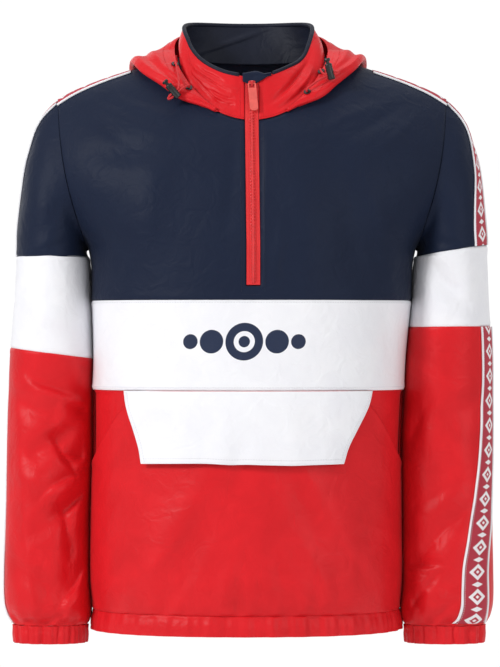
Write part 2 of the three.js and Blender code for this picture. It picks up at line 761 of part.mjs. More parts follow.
// A narrow strip beside the tape's edge, on the cloth between that column and the next
function sleevePiping(name, stations, column, towards) {
  const edge = sleeveGrid(name, stations, [column]).points;
  const next = sleeveGrid(name, stations, [towards]).points[0];
  const normals = sleeveFace(name, stations, [column])[0];
  const lines = [SEAM, PIPING].map((across) =>
    edge[0].map((p, j) => {
      const share = across / p.distanceTo(next[j]);
      return p.clone().lerp(next[j], share).addScaledVector(normals[j], PIPING_OUT);
    }),
  );
  return wall(lines, lines.map(() => normals), PIPING_WALL);
}

// The tape over the shoulder seam, on the facets that meet there. from and to are distances across the seam.
const shoulderShares = [0.62, 0.67, 0.77, 0.86, 0.93, 0.98, 0.9985];

function shoulderStrip(sign, acrosses, out, thickness) {
  const points = [];
  const normals = [];
  for (const across of acrosses) {
    const side = across < 0 ? -1 : 1;
    const line = [];
    const directions = [];
    for (const share of shoulderShares) {
      const x = sign * share * TIP.x;
      const top = topZ(side, x);
      const second = mix(top, BAND_TOP + SEAM_HALF, yokeRows[1]);
      const a = sheetPoint(side, x, top);
      const b = sheetPoint(side, sign * share * edgeX(second), second);
      const n = sheetNormal(side, x, top);
      const facet = b.clone().sub(a).cross(V(1, 0, 0)).normalize();
      if (facet.z < 0) facet.negate();
      const way = across === 0 ? n : facet;
      line.push(a.lerp(b, Math.abs(across) / a.distanceTo(b)).addScaledVector(way, out));
      directions.push(way);
    }
    points.push(line);
    normals.push(directions);
  }
  return wall(points, normals, thickness);
}

// Collar, by the angle round the neck from the middle of the front
const collarSections = [
  { angle: 0, topZ: -24, bulge: 0 },
  { angle: 7, topZ: -22, bulge: 0 },
  { angle: 21, topZ: -17.5, bulge: 1 },
  { angle: 36, topZ: -9, bulge: 2 },
  { angle: 48, topZ: 0, bulge: 2.5 },
  { angle: 60, topZ: 12, bulge: 2.5 },
  { angle: 73, topZ: 28, bulge: 3 },
  { angle: 90, topZ: 39, bulge: 3 },
  { angle: 110, topZ: 44.5, bulge: 2 },
  { angle: 135, topZ: 47, bulge: 0 },
  { angle: 180, topZ: 47.5, bulge: 0 },
];
const collarTopZ = curve(collarSections, "angle", "topZ");
const collarBulge = curve(collarSections, "angle", "bulge");
const COLLAR_TOP = { halfWidth: 77, shift: -4.5, y: -5, halfDepth: 66 };
const LOW_SIDE = 7; // the collar has sunk by this much on the wearer's left

function neckPoint(angle) {
  const x = NECK_HALF * Math.sin(angle * RAD);
  const side = Math.cos(angle * RAD) >= 0 ? -1 : 1;
  return sheetPoint(side, x, neckZ(side, x));
}

function collarOut(angle) {
  const x = Math.sin(angle * RAD) / COLLAR_TOP.halfWidth;
  const y = -Math.cos(angle * RAD) / COLLAR_TOP.halfDepth;
  return V(x, y, 0).normalize();
}

const turnedFromFront = (angle) => Math.abs(((angle + 540) % 360) - 180);

function collarTop(angle) {
  const turned = turnedFromFront(angle);
  const away = smooth(turned / 45);
  const wide = COLLAR_TOP.halfWidth * Math.sin(angle * RAD) + COLLAR_TOP.shift;
  const sunk = Math.sin(angle * RAD) > 0 ? LOW_SIDE * bump(turned - 60, 22) : 0;
  return V(
    mix(NECK_HALF * Math.sin(angle * RAD), wide, away),
    COLLAR_TOP.y - COLLAR_TOP.halfDepth * Math.cos(angle * RAD),
    collarTopZ(turned) - sunk,
  );
}

// A point of the collar. share runs from the neckline to the top edge, and inset is measured inwards.
function collarPoint(angle, share, inset = 0) {
  const base = neckPoint(angle);
  base.z += 2.2;
  const bulge = collarBulge(turnedFromFront(angle)) * Math.sin(Math.PI * share);
  return base.lerp(collarTop(angle), share).addScaledVector(collarOut(angle), bulge - inset);
}

// The collar leaves room for the zip tape between these two angles.
const COLLAR_START = Math.asin((ZIP_TOP_X + ZIP_SLIT) / NECK_HALF) / RAD;
const COLLAR_STOP = 360 - Math.asin((ZIP_SLIT - ZIP_TOP_X) / NECK_HALF) / RAD;
const collarAngles = evenly(32).map((s) => mix(COLLAR_START, COLLAR_STOP, s));

function collarWall(shares, inset, thickness, angles = collarAngles) {
  const points = angles.map((a) => shares.map((s) => collarPoint(a, s, inset)));
  const normals = angles.map((a) => shares.map(() => collarOut(a)));
  return wall(points, normals, thickness);
}

// Binding along the collar's top edge, clear of the chin guard at the front
const BINDING = 3;
const BINDING_WALL = CLOTH + SEAM + LINING;
const bindingAngles = collarAngles.filter((a) => a > 18 && a < 350);

function collarBinding() {
  const points = bindingAngles.map((a) =>
    [0.5, 0.5 + BINDING].map((up) => collarPoint(a, 1).add(V(0, 0, up))),
  );
  const normals = bindingAngles.map((a) => [collarOut(a), collarOut(a)]);
  return wall(points, normals, BINDING_WALL);
}

// Hood, pushed back into a pouch. By the angle round the neck: the point of the fold on the body,
// half the thickness of the fold, its swelling, the roll at the free edge, and where that edge lies
const hoodSections = [
  { angle: 27, x: 42, z: -65.5, rest: 1.8, fold: 1.8, puff: 0.3, roll: 0.3, gap: 4.2, edgeZ: -62 },
  { angle: 33, x: 53, z: -60.5, rest: 1.8, fold: 2.8, puff: 0.8, roll: 0.8, gap: 4.6, edgeZ: -56.5 },
  { angle: 50, x: 81, z: -50, rest: 2, fold: 4.5, puff: 3, roll: 5, gap: 5, edgeZ: -36 },
  { angle: 65, x: 101, z: -35, rest: 2.8, fold: 5, puff: 5, roll: 9, gap: 4.6, edgeZ: -17 },
  { angle: 78, x: 122, z: -21, rest: 4, fold: 5, puff: 5, roll: 11, gap: 4.6, edgeZ: -2 },
  { angle: 90, x: 137, z: -8.6, rest: 4.4, fold: 5, puff: 6, roll: 12, gap: 5, edgeZ: 13 },
  { angle: 105, x: 136, z: -34, rest: 6, fold: 7, puff: 10, roll: 16, gap: 6.5, edgeZ: 27 },
  { angle: 120, x: 128, z: -74, rest: 6.5, fold: 9, puff: 14, roll: 24, gap: 9, edgeZ: 34 },
  { angle: 135, x: 110, z: -115, rest: 6.5, fold: 11, puff: 18, roll: 34, gap: 12, edgeZ: 38 },
  { angle: 150, x: 82, z: -150, rest: 6.5, fold: 13, puff: 21, roll: 42, gap: 14, edgeZ: 40 },
  { angle: 165, x: 44, z: -174, rest: 6.5, fold: 14, puff: 22, roll: 48, gap: 15, edgeZ: 41 },
  { angle: 180, x: 0, z: -182, rest: 6.5, fold: 14, puff: 22, roll: 50, gap: 15, edgeZ: 41 },
];
const hoodAt = {};
for (const key of ["x", "z", "rest", "fold", "puff", "roll", "gap", "edgeZ"]) {
  hoodAt[key] = curve(hoodSections, "angle", key);
}
const HOOD_NARROW = 0.93; // the hood reaches less far out on the wearer's left

// The hood's surface at an angle from the front. sign is the side. Rows up to 4 lie on the body,
// row 5 is the fold and later rows climb to the free edge.
const innerShares = [0.05, 0.24, 0.52, 0.9];
const outerShares = [0, 0.16, 0.36, 0.58, 0.8, 1];

function hoodFrame(sign, angle) {
  const side = angle < 90 ? -1 : 1;
  const neckX = NECK_HALF * Math.sin(angle * RAD);
  const neck = { x: neckX, z: neckZ(side, neckX) };
  const reach = sign > 0 ? mix(1, HOOD_NARROW, Math.sin(angle * RAD)) : 1;
  const foldAt = { x: hoodAt.x(angle) * reach, z: hoodAt.z(angle) };
  const neckDrop = ridge(neck.x) - neck.z;
  const foldDrop = ridge(hoodAt.x(angle)) - foldAt.z;
  const onBody = (share, out) => {
    const x = sign * mix(neck.x, foldAt.x, share);
    const z = ridge(Math.abs(x)) - Math.max(0.05, mix(neckDrop, foldDrop, share));
    const off = out * mix(0.45, 1, smooth(share / 0.25));
    return sheetPoint(side, x, z).addScaledVector(sheetNormal(side, x, z), off);
  };
  const rest = hoodAt.rest(angle);
  const fold = hoodAt.fold(angle);
  const lowest = onBody(1, 0);
  const away = lowest.clone().sub(onBody(0.8, 0)).normalize();
  const normal = onBody(1, 1).sub(lowest);
  const start = lowest.clone().addScaledVector(away, fold * 0.9).addScaledVector(normal, rest + fold);
  const round = sign > 0 ? angle : 360 - angle;
  const base = neckPoint(round).z;
  const top = collarTop(round).z;
  const share = clamp((hoodAt.edgeZ(angle) - base) / (top - base), 0, 1);
  const out = collarOut(round);
  const end = collarPoint(round, share).addScaledVector(out, hoodAt.gap(angle));
  const first = start.clone().addScaledVector(normal, fold + hoodAt.puff(angle));
  const second = end.clone().addScaledVector(out, hoodAt.roll(angle));
  return { onBody, rest, fold, lowest, away, normal, start, first, second, end };
}

function hoodOuter(frame, t) {
  const a = (1 - t) ** 3;
  const b = 3 * t * (1 - t) ** 2;
  const c = 3 * t * t * (1 - t);
  const p = V(0, 0, 0).addScaledVector(frame.start, a).addScaledVector(frame.first, b);
  return p.addScaledVector(frame.second, c).addScaledVector(frame.end, t ** 3);
}

const hoodHalf = [27, 35, 44, 53, 62, 70, 77, 83, 88, 94, 101, 109, 119, 131, 145, 163];
const hoodTurns = [
  ...hoodHalf.map((angle) => ({ sign: -1, angle })),
  { sign: -1, angle: 180 },
  ...[...hoodHalf].reverse().map((angle) => ({ sign: 1, angle })),
];

function hoodLine({ sign, angle }) {
  const frame = hoodFrame(sign, angle);
  const inner = innerShares.map((s) => frame.onBody(s, frame.rest));
  const bend = frame.lowest.clone().addScaledVector(frame.away, frame.fold * 0.55);
  inner.push(bend.addScaledVector(frame.normal, frame.rest + frame.fold * 0.3));
  return [...inner, ...outerShares.map((t) => hoodOuter(frame, t))];
}

function hood() {
  const points = hoodTurns.map(hoodLine);
  const normals = gridNormals(points, HOOD_FACING);
  return wall(points, normals, CLOTH);
}

// Zip tape from the collar's top edge to the end of the slit
const zipRows = [
  ...[0.97, 0.66, 0.33, 0].map((share) => ({ share })),
  ...yokeRows.slice(1, -1).map((v) => ({ z: mix(NECK_FRONT, BAND_TOP + SEAM_HALF, v) })),
];
const ZIP_TAPE_WALL = 1.2;
const CHAIN_HALF = 2.5;
const CHAIN_WALL = 1.6;
const CHAIN_OUT = CHAIN_WALL + 0.3;

function zipPoint(row, x, out) {
  const onCollar = row.z === undefined;
  const p = onCollar ? collarPoint(0, row.share) : sheetPoint(-1, 0, Math.max(row.z, ZIP_END + 1));
  return V((onCollar ? ZIP_TOP_X : zipX(p.z)) + sway(p.z) + x, p.y - out, p.z);
}

function zipStrip(halfWidth, out, thickness, rows) {
  const points = [-halfWidth, halfWidth].map((x) => rows.map((row) => zipPoint(row, x, out)));
  const normals = points.map((line) => line.map(() => V(0, -1, 0)));
  return wall(points, normals, thickness);
}

// Solids for booleans
function solid(geometry) {
  const bare = geometry.clone();
  bare.deleteAttribute("normal");
  bare.deleteAttribute("uv");
  const merged = mergeVertices(bare, 1e-4);
  const vertProperties = new Float32Array(merged.attributes.position.array);
  const triVerts = new Uint32Array(merged.index.array);
  return new wasm.Manifold(new wasm.Mesh({ numProp: 3, vertProperties, triVerts }));
}

function surface(manifold) {
  const mesh = manifold.getMesh();
  return facingOut([...mesh.vertProperties], [...mesh.triVerts]);
}

// Moves a geometry from its own axes to axes x, y and z at a point.
function place(geometry, at, x, y, z) {
  return geometry.applyMatrix4(new THREE.Matrix4().makeBasis(x, y, z).setPosition(at));
}

function slab(outline, low, high, holes = []) {
  const shape = new THREE.Shape(outline.map(([x, y]) => new THREE.Vector2(x, y)));
  shape.holes = holes.map((h) => new THREE.Path(h.map(([x, y]) => new THREE.Vector2(x, y))));
  const geometry = new THREE.ExtrudeGeometry(shape, { depth: high - low, bevelEnabled: false });
  return geometry.translate(0, 0, low);
}

function turned(profile, segments) {
  const outline = [...profile, profile[0]].map(([r, z]) => new THREE.Vector2(r, z));
  return new THREE.LatheGeometry(outline, segments).rotateX(Math.PI / 2);
}

// Zip slider and its pull, on axes across the zip, up along it and out from it
const SLIDER_Z = -33;
const sliderShare = (SLIDER_Z - collarPoint(0, 0).z) / (collarPoint(0, 1).z - collarPoint(0, 0).z);
const sliderAt = zipPoint({ share: sliderShare }, 0, 0);
const zipUp = collarPoint(0, 1).sub(collarPoint(0, 0)).normalize();
const zipAcross = V(1, 0, 0);
const zipFace = zipAcross.clone().cross(zipUp);
const PLATE = { low: 2.3, high: 4.1, half: 4.1 };
const ARCH = { half: 1.1, inner: 2.2, outer: 3.2, under: 5.9, top: 7 };
const PULL = { axis: 5, half: 0.6, width: 4.75, length: 35, lean: 2.6, armInside: 3.1, armEnd: -5.6 };

function slider() {
  const h = PLATE.half;
  const plate = slab([[-h, -h + 1.5], [-2, -h - 0.4], [2, -h - 0.4], [h, -h + 1.5], [h, h - 1], [2.6, h], [-2.6, h], [-h, h - 1]], PLATE.low, PLATE.high);
  const foot = PLATE.high - 0.2;
  const archOutline = [
    [-ARCH.outer, foot],
    [-ARCH.outer, ARCH.top - 0.8],
    [-ARCH.inner, ARCH.top],
    [ARCH.inner, ARCH.top],
    [ARCH.outer, ARCH.top - 0.8],
    [ARCH.outer, foot],
    [ARCH.inner, foot],
    [ARCH.inner, ARCH.under],
    [-ARCH.inner, ARCH.under],
    [-ARCH.inner, foot],
  ];
  const arch = slab(archOutline, -ARCH.half, ARCH.half);
  arch.applyMatrix4(new THREE.Matrix4().makeBasis(V(0, 1, 0), V(0, 0, 1), V(1, 0, 0)));
  const whole = surface(solid(plate).add(solid(arch)));
  return place(whole, sliderAt, zipAcross, zipUp, zipFace);
}

function pull() {
  const { half, width, length, lean, armInside, armEnd, axis } = PULL;
  const outline = [
    [-width + 1, half],
    [-width, -0.6],
    [lean - width, 3 - length],
    [lean - width + 2.4, 0.6 - length],
    [lean + width - 2.4, 0.6 - length],
    [lean + width, 3 - length],
    [width, -0.6],
    [width - 1, half],
  ];
  const window = [[-armInside, -half], [-armInside, armEnd], [armInside, armEnd], [armInside, -half]];
  const plate = slab(outline, axis - half, axis + half, [window]);
  return place(plate, sliderAt, zipAcross, zipUp, zipFace);
}

// Chin guard, folded over the collar's front edge above the slider
const guardPath = [
  { share: 0.875, out: 1.9, up: 0 },
  { share: 1, out: 1.9, up: 0.5 },
  { share: 1, out: 1.2, up: 4 },
  { share: 1, out: -1.5, up: 6 },
  { share: 1, out: -4.2, up: 4.5 },
  { share: 1, out: -5.2, up: 0.5 },
  { share: 0.86, out: -5.2, up: 0 },
];
const GUARD = { left: -10, right: 21.5 };

function chinGuard() {
  const points = evenly(5).map((s) => {
    const x = mix(GUARD.left, GUARD.right, s);
    const angle = Math.asin(x / NECK_HALF) / RAD;
    const dome = 0.55 + 0.45 * Math.sin(Math.PI * s);
    return guardPath.map(({ share, out, up }) => {
      const p = collarPoint(angle, share).addScaledVector(collarOut(angle), out);
      p.z += up * dome + (up > 0.6 ? 0.8 : 0);
      return p;
    });
  });
  return wall(points, gridNormals(points, GUARD_FACING), 1.3);
}

// Drawcord fittings on each side of the hood: eyelets, and the two ends of the cord lock, in the front view
const CORD = 1.3; // radius
const fittings = {
  right: {
    sign: -1,
    eyelets: [{ x: -90, z: -6.7 }, { x: -73.4, z: -35.3 }],
    lockLow: { x: -84.8, z: -47.2 },
    lockHigh: { x: -101, z: -28.7 },
  },
  left: {
    sign: 1,
    eyelets: [{ x: 75, z: -12.3 }, { x: 63.7, z: -41.4 }],
    lockLow: { x: 92.5, z: -26 },
    lockHigh: { x: 86.5, z: -1.7 },
  },
};

function nearestOnHood(sign, target) {
  let best = null;
  for (let angle = 30; angle < 89; angle += 1) {
    const frame = hoodFrame(sign, angle);
    for (let t = 0.2; t <= 0.97; t += 0.02) {
      const p = hoodOuter(frame, t);
      const miss = Math.hypot(p.x - target.x, p.z - target.z);
      if (!best || miss < best.miss) best = { miss, angle, t, p };
    }
  }
  const along = hoodOuter(hoodFrame(sign, best.angle), best.t + 0.02).sub(best.p);
  const across = hoodOuter(hoodFrame(sign, best.angle + 1), best.t).sub(best.p);
  const normal = along.cross(across).normalize();
  if (normal.y > 0) normal.negate();
  return { at: best.p, normal };
}

// Axes with z along a direction
function axesAlong(z, hint) {
  const x = hint.clone().addScaledVector(z, -hint.dot(z)).normalize();
  return [x, z.clone().cross(x), z];
}

const EYELET = { hole: 1.9, tube: 2.4, flange: 4.5, out: 0.6, wall: 0.9, cut: 2.9 };
const eyeletProfile = [
  [EYELET.hole, EYELET.out + EYELET.wall],
  [EYELET.hole, -2.6],
  [EYELET.tube, -2.6],
  [EYELET.tube, EYELET.out],
  [EYELET.flange, EYELET.out],
  [EYELET.flange - 0.4, EYELET.out + EYELET.wall],
];

const LOCK = { radius: 4.3, length: 19, holeLow: 3.2, holeHigh: 9.8, holeHalf: 1.7, bore: 2.4, boreEnd: 12 };
const PLUNGER = { stem: 2.1, stemEnd: 15.4, head: 3.7, headLow: 22, headHigh: 25.3 };

function lockBarrel(at, axes) {
  const { radius, length } = LOCK;
  const body = turned([[0, 0], [radius - 0.9, 0], [radius, 0.9], [radius, length - 0.9], [radius - 0.9, length], [0, length]], 16);
  const hole = new THREE.BoxGeometry(12, 2 * LOCK.holeHalf, LOCK.holeHigh - LOCK.holeLow);
  hole.translate(0, 0, (LOCK.holeHigh + LOCK.holeLow) / 2);
  const bore = turned([[0, LOCK.boreEnd], [LOCK.bore, LOCK.boreEnd], [LOCK.bore, length + 1], [0, length + 1]], 16);
  const cut = surface(solid(body).subtract(solid(hole)).subtract(solid(bore)));
  return place(cut, at, ...axes);
}

function lockPlunger(at, axes) {
  const { stem, stemEnd, head, headLow, headHigh } = PLUNGER;
  const profile = [[0, stemEnd], [stem, stemEnd], [stem, headLow], [head, headLow], [head, headHigh - 0.9], [head - 0.9, headHigh], [0, headHigh]];
  return place(surface(solid(turned(profile, 12))), at, ...axes);
}

// A round cord along a list of points, closed at both ends
function cordAlong(through, spacing, sides = 6) {
  const path = new THREE.CatmullRomCurve3(through, false, "centripetal");
  const steps = Math.round(path.getLength() / spacing);
  const flat = [];
  const index = [];
  let side = null;
  for (let i = 0; i <= steps; i += 1) {
    const at = path.getPointAt(i / steps);
    const along = path.getTangentAt(i / steps);
    if (!side) side = Math.abs(along.z) < 0.9 ? V(0, 0, 1) : V(1, 0, 0);
    side.addScaledVector(along, -side.dot(along)).normalize();
    const other = along.clone().cross(side);
    for (let k = 0; k < sides; k += 1) {
      const turn = (k / sides) * 2 * Math.PI;
      const p = at.clone().addScaledVector(side, CORD * Math.cos(turn));
      p.addScaledVector(other, CORD * Math.sin(turn));
      flat.push(p.x, p.y, p.z);
    }
  }
  for (let i = 0; i < steps; i += 1) {
    for (let k = 0; k < sides; k += 1) {
      const a = i * sides + k;
      const b = i * sides + ((k + 1) % sides);
      index.push(a, b, b + sides, a, b + sides, a + sides);
    }
  }
  const last = steps * sides;
  for (let k = 1; k < sides - 1; k += 1) {
    index.push(0, k + 1, k, last, last + k, last + k + 1);
  }
  return facingOut(flat, index);
}

function fit(name) {
  const { sign, eyelets, lockLow, lockHigh } = fittings[name];
  const rings = eyelets.map((target) => nearestOnHood(sign, target));
  const samples = evenly(6).map((s) => ({
    x: mix(lockLow.x, lockHigh.x, s),
    z: mix(lockLow.z, lockHigh.z, s),
  }));
  const nearest = samples.map((target) => nearestOnHood(sign, target).at.y);
  const y = Math.min(...nearest) - LOCK.radius - 1.2;
  const low = V(lockLow.x, y, lockLow.z);
  const axis = V(lockHigh.x, y, lockHigh.z).sub(low).normalize();
  const towards = rings[0].at.clone().add(rings[1].at).multiplyScalar(0.5).sub(low);
  towards.y = 0;
  const axes = axesAlong(axis, towards);
  const local = (x, z) => low.clone().addScaledVector(axes[0], x).addScaledVector(axes[2], z);
  const strands = [8.1, 4.9];
  const off = (ring, d) => ring.at.clone().addScaledVector(ring.normal, d);
  const between = (ring, z) => off(ring, 5.5).lerp(local(9, z), 0.5);
  const through = [
    off(rings[0], -6),
    off(rings[0], -1),
    off(rings[0], 3.4),
    between(rings[0], strands[0]),
    local(6.5, strands[0]),
    local(0, strands[0]),
    local(-7, strands[0]),
    local(-10.4, 6.5),
    local(-7, strands[1]),
    local(0, strands[1]),
    local(6.5, strands[1]),
    between(rings[1], strands[1]),
    off(rings[1], 3.4),
    off(rings[1], -1),
    off(rings[1], -6),
  ];
  return { rings, low, axes, through };
}

const fitted = { right: fit("right"), left: fit("left") };

function cutForEyelets(geometry) {
  let body = solid(geometry);
  for (const { rings } of Object.values(fitted)) {
    for (const { at, normal } of rings) {
      const punch = turned([[0, -6], [EYELET.cut, -6], [EYELET.cut, 3], [0, 3]], 10);
      body = body.subtract(solid(place(punch, at, ...axesAlong(normal, V(0, 0, 1)))));
    }
  }
  return surface(body);
}

// Body
add("front_yoke", yoke(-1), navy);
add("back_yoke", yoke(1), navy);
add("front_band", band(-1), white);
add("back_band", band(1), white);
add("lower_front", lowerBody(-1), red);
add("lower_back", lowerBody(1), red);
add("pocket_facing_right", pocketFacing(-1), red);
add("pocket_facing_left", pocketFacing(1), red);
add("pocket_flap", pocketFlap(), white);
add("waistband", waistband(), red);

// Sleeves, named for the wearer's sides: the wearer's right arm is at -X
for (const name of ["right", "left"]) {
  add(`sleeve_cap_${name}`, sleeveTube(name, capStations[name]), navy);
  add(`sleeve_band_${name}`, sleeveTube(name, bandStations[name]), white);
  add(`sleeve_lower_${name}`, sleeveTube(name, lowerStations(name)), red);
  add(`cuff_${name}`, cuff(name), red);
  const sign = name === "left" ? 1 : -1;
  const shoulderAcross = [-TAPE_HALF, 0, TAPE_HALF];
  add(`tape_shoulder_${name}`, shoulderStrip(sign, shoulderAcross, TAPE_OUT, TAPE_WALL), tapeRed);
  add(`tape_cap_${name}`, sleeveTape(name, capStations[name]), tapeRed);
  add(`tape_lower_${name}`, sleeveTape(name, lowerStations(name).slice(0, -1)), tapeRed);
  for (const [edge, column, towards, side] of [["back", 0, SLEEVE_COLUMNS - 1, 1], ["front", 2, 3, -1]]) {
    const across = [side * (TAPE_HALF + SEAM), side * (TAPE_HALF + PIPING)];
    add(`piping_shoulder_${edge}_${name}`, shoulderStrip(sign, across, PIPING_OUT, PIPING_WALL), white);
    add(`piping_cap_${edge}_${name}`, sleevePiping(name, capStations[name], column, towards), white);
    add(`piping_lower_${edge}_${name}`, sleevePiping(name, lowerStations(name).slice(0, -1), column, towards), white);
  }
}

// Neck
add("collar", collarWall([0, 0.25, 0.5, 0.75, 1], 0, CLOTH), red);
add("collar_lining", collarWall([0.05, 0.25, 0.5, 0.75, 1], CLOTH + SEAM, LINING), navy);
add("collar_binding", collarBinding(), navy);
add("hood", cutForEyelets(hood()), red);
add("zip_tape", zipStrip(ZIP_HALF, 0, ZIP_TAPE_WALL, zipRows), red);
add("zip_chain", zipStrip(CHAIN_HALF, CHAIN_OUT, CHAIN_WALL, [{ share: 0.8 }, ...zipRows.slice(1)]), red);
add("zip_slider", slider(), red);
add("zip_pull", pull(), red);
add("chin_guard", chinGuard(), navy);
for (const name of ["right", "left"]) {
  const { rings, low, axes, through } = fitted[name];
  ["upper", "lower"].forEach((level, k) => {
    const { at, normal } = rings[k];
    const ring = place(surface(solid(turned(eyeletProfile, 10))), at, ...axesAlong(normal, V(0, 0, 1)));
    add(`eyelet_${level}_${name}`, ring, black);
  });
  add(`lock_barrel_${name}`, lockBarrel(low, axes), black, 0.3);
  add(`lock_plunger_${name}`, lockPlunger(low, axes), black, 0.3);
  add(`drawcord_${name}`, cordAlong(through, 4), red);
}

export default garment;
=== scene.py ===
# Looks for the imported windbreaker: fine cloth on the same surfaces as the solids, with its folds,
# seams, gathers, zip teeth and materials. Lengths are in millimetres until a mesh is made.
import math
from functools import partial
from itertools import product

import bpy
import mathutils
import numpy as np
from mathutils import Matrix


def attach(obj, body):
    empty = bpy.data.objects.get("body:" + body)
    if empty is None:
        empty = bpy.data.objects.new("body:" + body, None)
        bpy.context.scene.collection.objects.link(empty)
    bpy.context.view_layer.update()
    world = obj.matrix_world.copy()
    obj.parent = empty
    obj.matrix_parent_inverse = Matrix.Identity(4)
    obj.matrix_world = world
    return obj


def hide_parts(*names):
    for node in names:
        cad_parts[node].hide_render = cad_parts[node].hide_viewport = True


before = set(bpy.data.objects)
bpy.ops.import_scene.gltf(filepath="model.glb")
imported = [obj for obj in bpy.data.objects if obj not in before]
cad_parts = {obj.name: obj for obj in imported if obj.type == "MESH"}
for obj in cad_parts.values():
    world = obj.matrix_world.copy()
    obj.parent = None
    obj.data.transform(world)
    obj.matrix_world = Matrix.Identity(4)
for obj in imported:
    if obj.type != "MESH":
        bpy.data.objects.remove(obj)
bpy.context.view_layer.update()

# Driving sizes, the same as in the part's source
CLOTH = 0.9
SIDE_Y = 4.0
SQUARENESS = 2.3
RIDGE_DROP = 130.0
RIDGE_POWER = 2.2
BAND_TOP = -282.0
BAND_BOTTOM = -386.0
HEM_SEAM = -643.5
HEM_BOTTOM = -667.0
ZIP_HALF = 7.8
ZIP_SLIT = 8.4
ZIP_END = -266.0
ZIP_TOP_X = -0.3
ZIP_SLANT = 2.3
NECK_HALF = 85.0
NECK_FRONT = -74.6
NECK_SIDE = 6.0
NECK_BACK = 2.0
TIP_X = 229.0
TIP_Z = -45.0
ARMPIT_X = 193.0
ARMPIT_Z = -222.0
ARMHOLE_BOW = 7.0
TAPE_HALF = 18.0
PIPING = 3.0
SLEEVE_END = 432.0
CUFF_HEIGHT = 21.0
NECK_SHARE = NECK_HALF / TIP_X
# Share of the yoke's height at which its slit for the zip ends
SLIT_SHARE = 0.9233
# Columns nearest the slit on both sides, as shares of the half width
SLIT_COLUMNS = (0.045, 0.075)


def mix(a, b, t):
    return a + (b - a) * t


def smooth(t):
    k = np.clip(t, 0, 1)
    return k * k * (3 - 2 * k)


def bump(x, width):
    return np.exp(-((x / width) ** 2))


def unit(v):
    return v / np.maximum(np.linalg.norm(v, axis=-1, keepdims=True), 1e-9)


def turned(angle, start):
    """Degrees from one angle on to another, between -180 and 180."""
    return (angle - start + 540) % 360 - 180


def patch(x, z, turn, length, width, depth):
    """One fold. x and z are distances from its middle, and turn is its direction in degrees."""
    c = math.cos(math.radians(turn))
    s = math.sin(math.radians(turn))
    return depth * bump(x * c + z * s, length) * bump(-x * s + z * c, width)


def curve(rows, column):
    """One column of a table as a smooth curve over its first column."""
    x = np.array([r[0] for r in rows], float)
    y = np.array([r[column] for r in rows], float)
    last = len(x) - 1
    low = np.maximum(np.arange(last + 1) - 1, 0)
    high = np.minimum(np.arange(last + 1) + 1, last)
    slope = (y[high] - y[low]) / (x[high] - x[low])

    def at(value):
        value = np.asarray(value, float)
        i = np.clip(np.searchsorted(x, value) - 1, 0, last - 1)
        h = x[i + 1] - x[i]
        t = np.clip((value - x[i]) / h, 0, 1)
        a = y[i] * (2 * t**3 - 3 * t**2 + 1) + y[i + 1] * (3 * t**2 - 2 * t**3)
        return a + slope[i] * h * (t**3 - 2 * t**2 + t) + slope[i + 1] * h * (t**3 - t**2)

    return at


# Torso sections: height, half width, depth in front, depth behind, sideways sway
torso_sections = [
    (-668, 184, 140, 124, -7),
    (-648, 181.5, 138, 122, -7),
    (-643.5, 181.5, 138, 122, -7),
    (-632.5, 182.5, 143, 127, -7),
    (-608, 184.5, 146, 131, -7),
    (-540, 184, 145, 130, -7),
    (-450, 182.5, 143, 126, -6),
    (-386, 184, 142, 124, -4.5),
    (-345, 184.5, 141, 124, -3),
    (-285, 188.5, 139, 127, -1),
    (-222, ARMPIT_X, 136, 130, 0),
    (-190, 214, 132, 130, 0),
    (-150, 238, 124, 126, 0),
    (-100, 251, 108, 116, 0),
    (-45, 256, 84, 96, 0),
    (30, 258, 66, 72, 0),
]
torso_half = curve(torso_sections, 1)
torso_front = curve(torso_sections, 2)
torso_back = curve(torso_sections, 3)
sway = curve(torso_sections, 4)

# Height of the shoulder line: distance from the middle, height
ridge_rows = [(0, 20), (45, 17), (85, 6), (110, 0.5), (140, -9.5), (168, -18.5), (190, -26.5)]
ridge = curve(ridge_rows + [(210, -35), (229, -45)], 1)

# Folds of the body: place, direction in degrees, length, width, height
front_folds = [
    (-95, -560, 55, 120, 22, 5),
    (-50, -540, 62, 110, 16, -4),
    (110, -540, -60, 110, 20, 5),
    (140, -480, -40, 50, 16, -5),
    (-140, -430, 50, 60, 18, 5),
    (120, -210, -75, 90, 20, -5),
    (-130, -190, 75, 90, 24, 5),
    (165, -330, -75, 50, 12, -6),
    (60, -180, -82, 100, 22, 4),
    (-150, -110, 10, 60, 16, -5),
]
back_folds = [
    (-90, -210, 80, 120, 24, 6),
    (90, -230, -80, 130, 24, 6),
    (0, -330, 90, 150, 30, -5),
    (-110, -520, 70, 120, 22, -6),
    (105, -540, -72, 120, 22, -6),
    (20, -590, 84, 70, 18, 5),
]
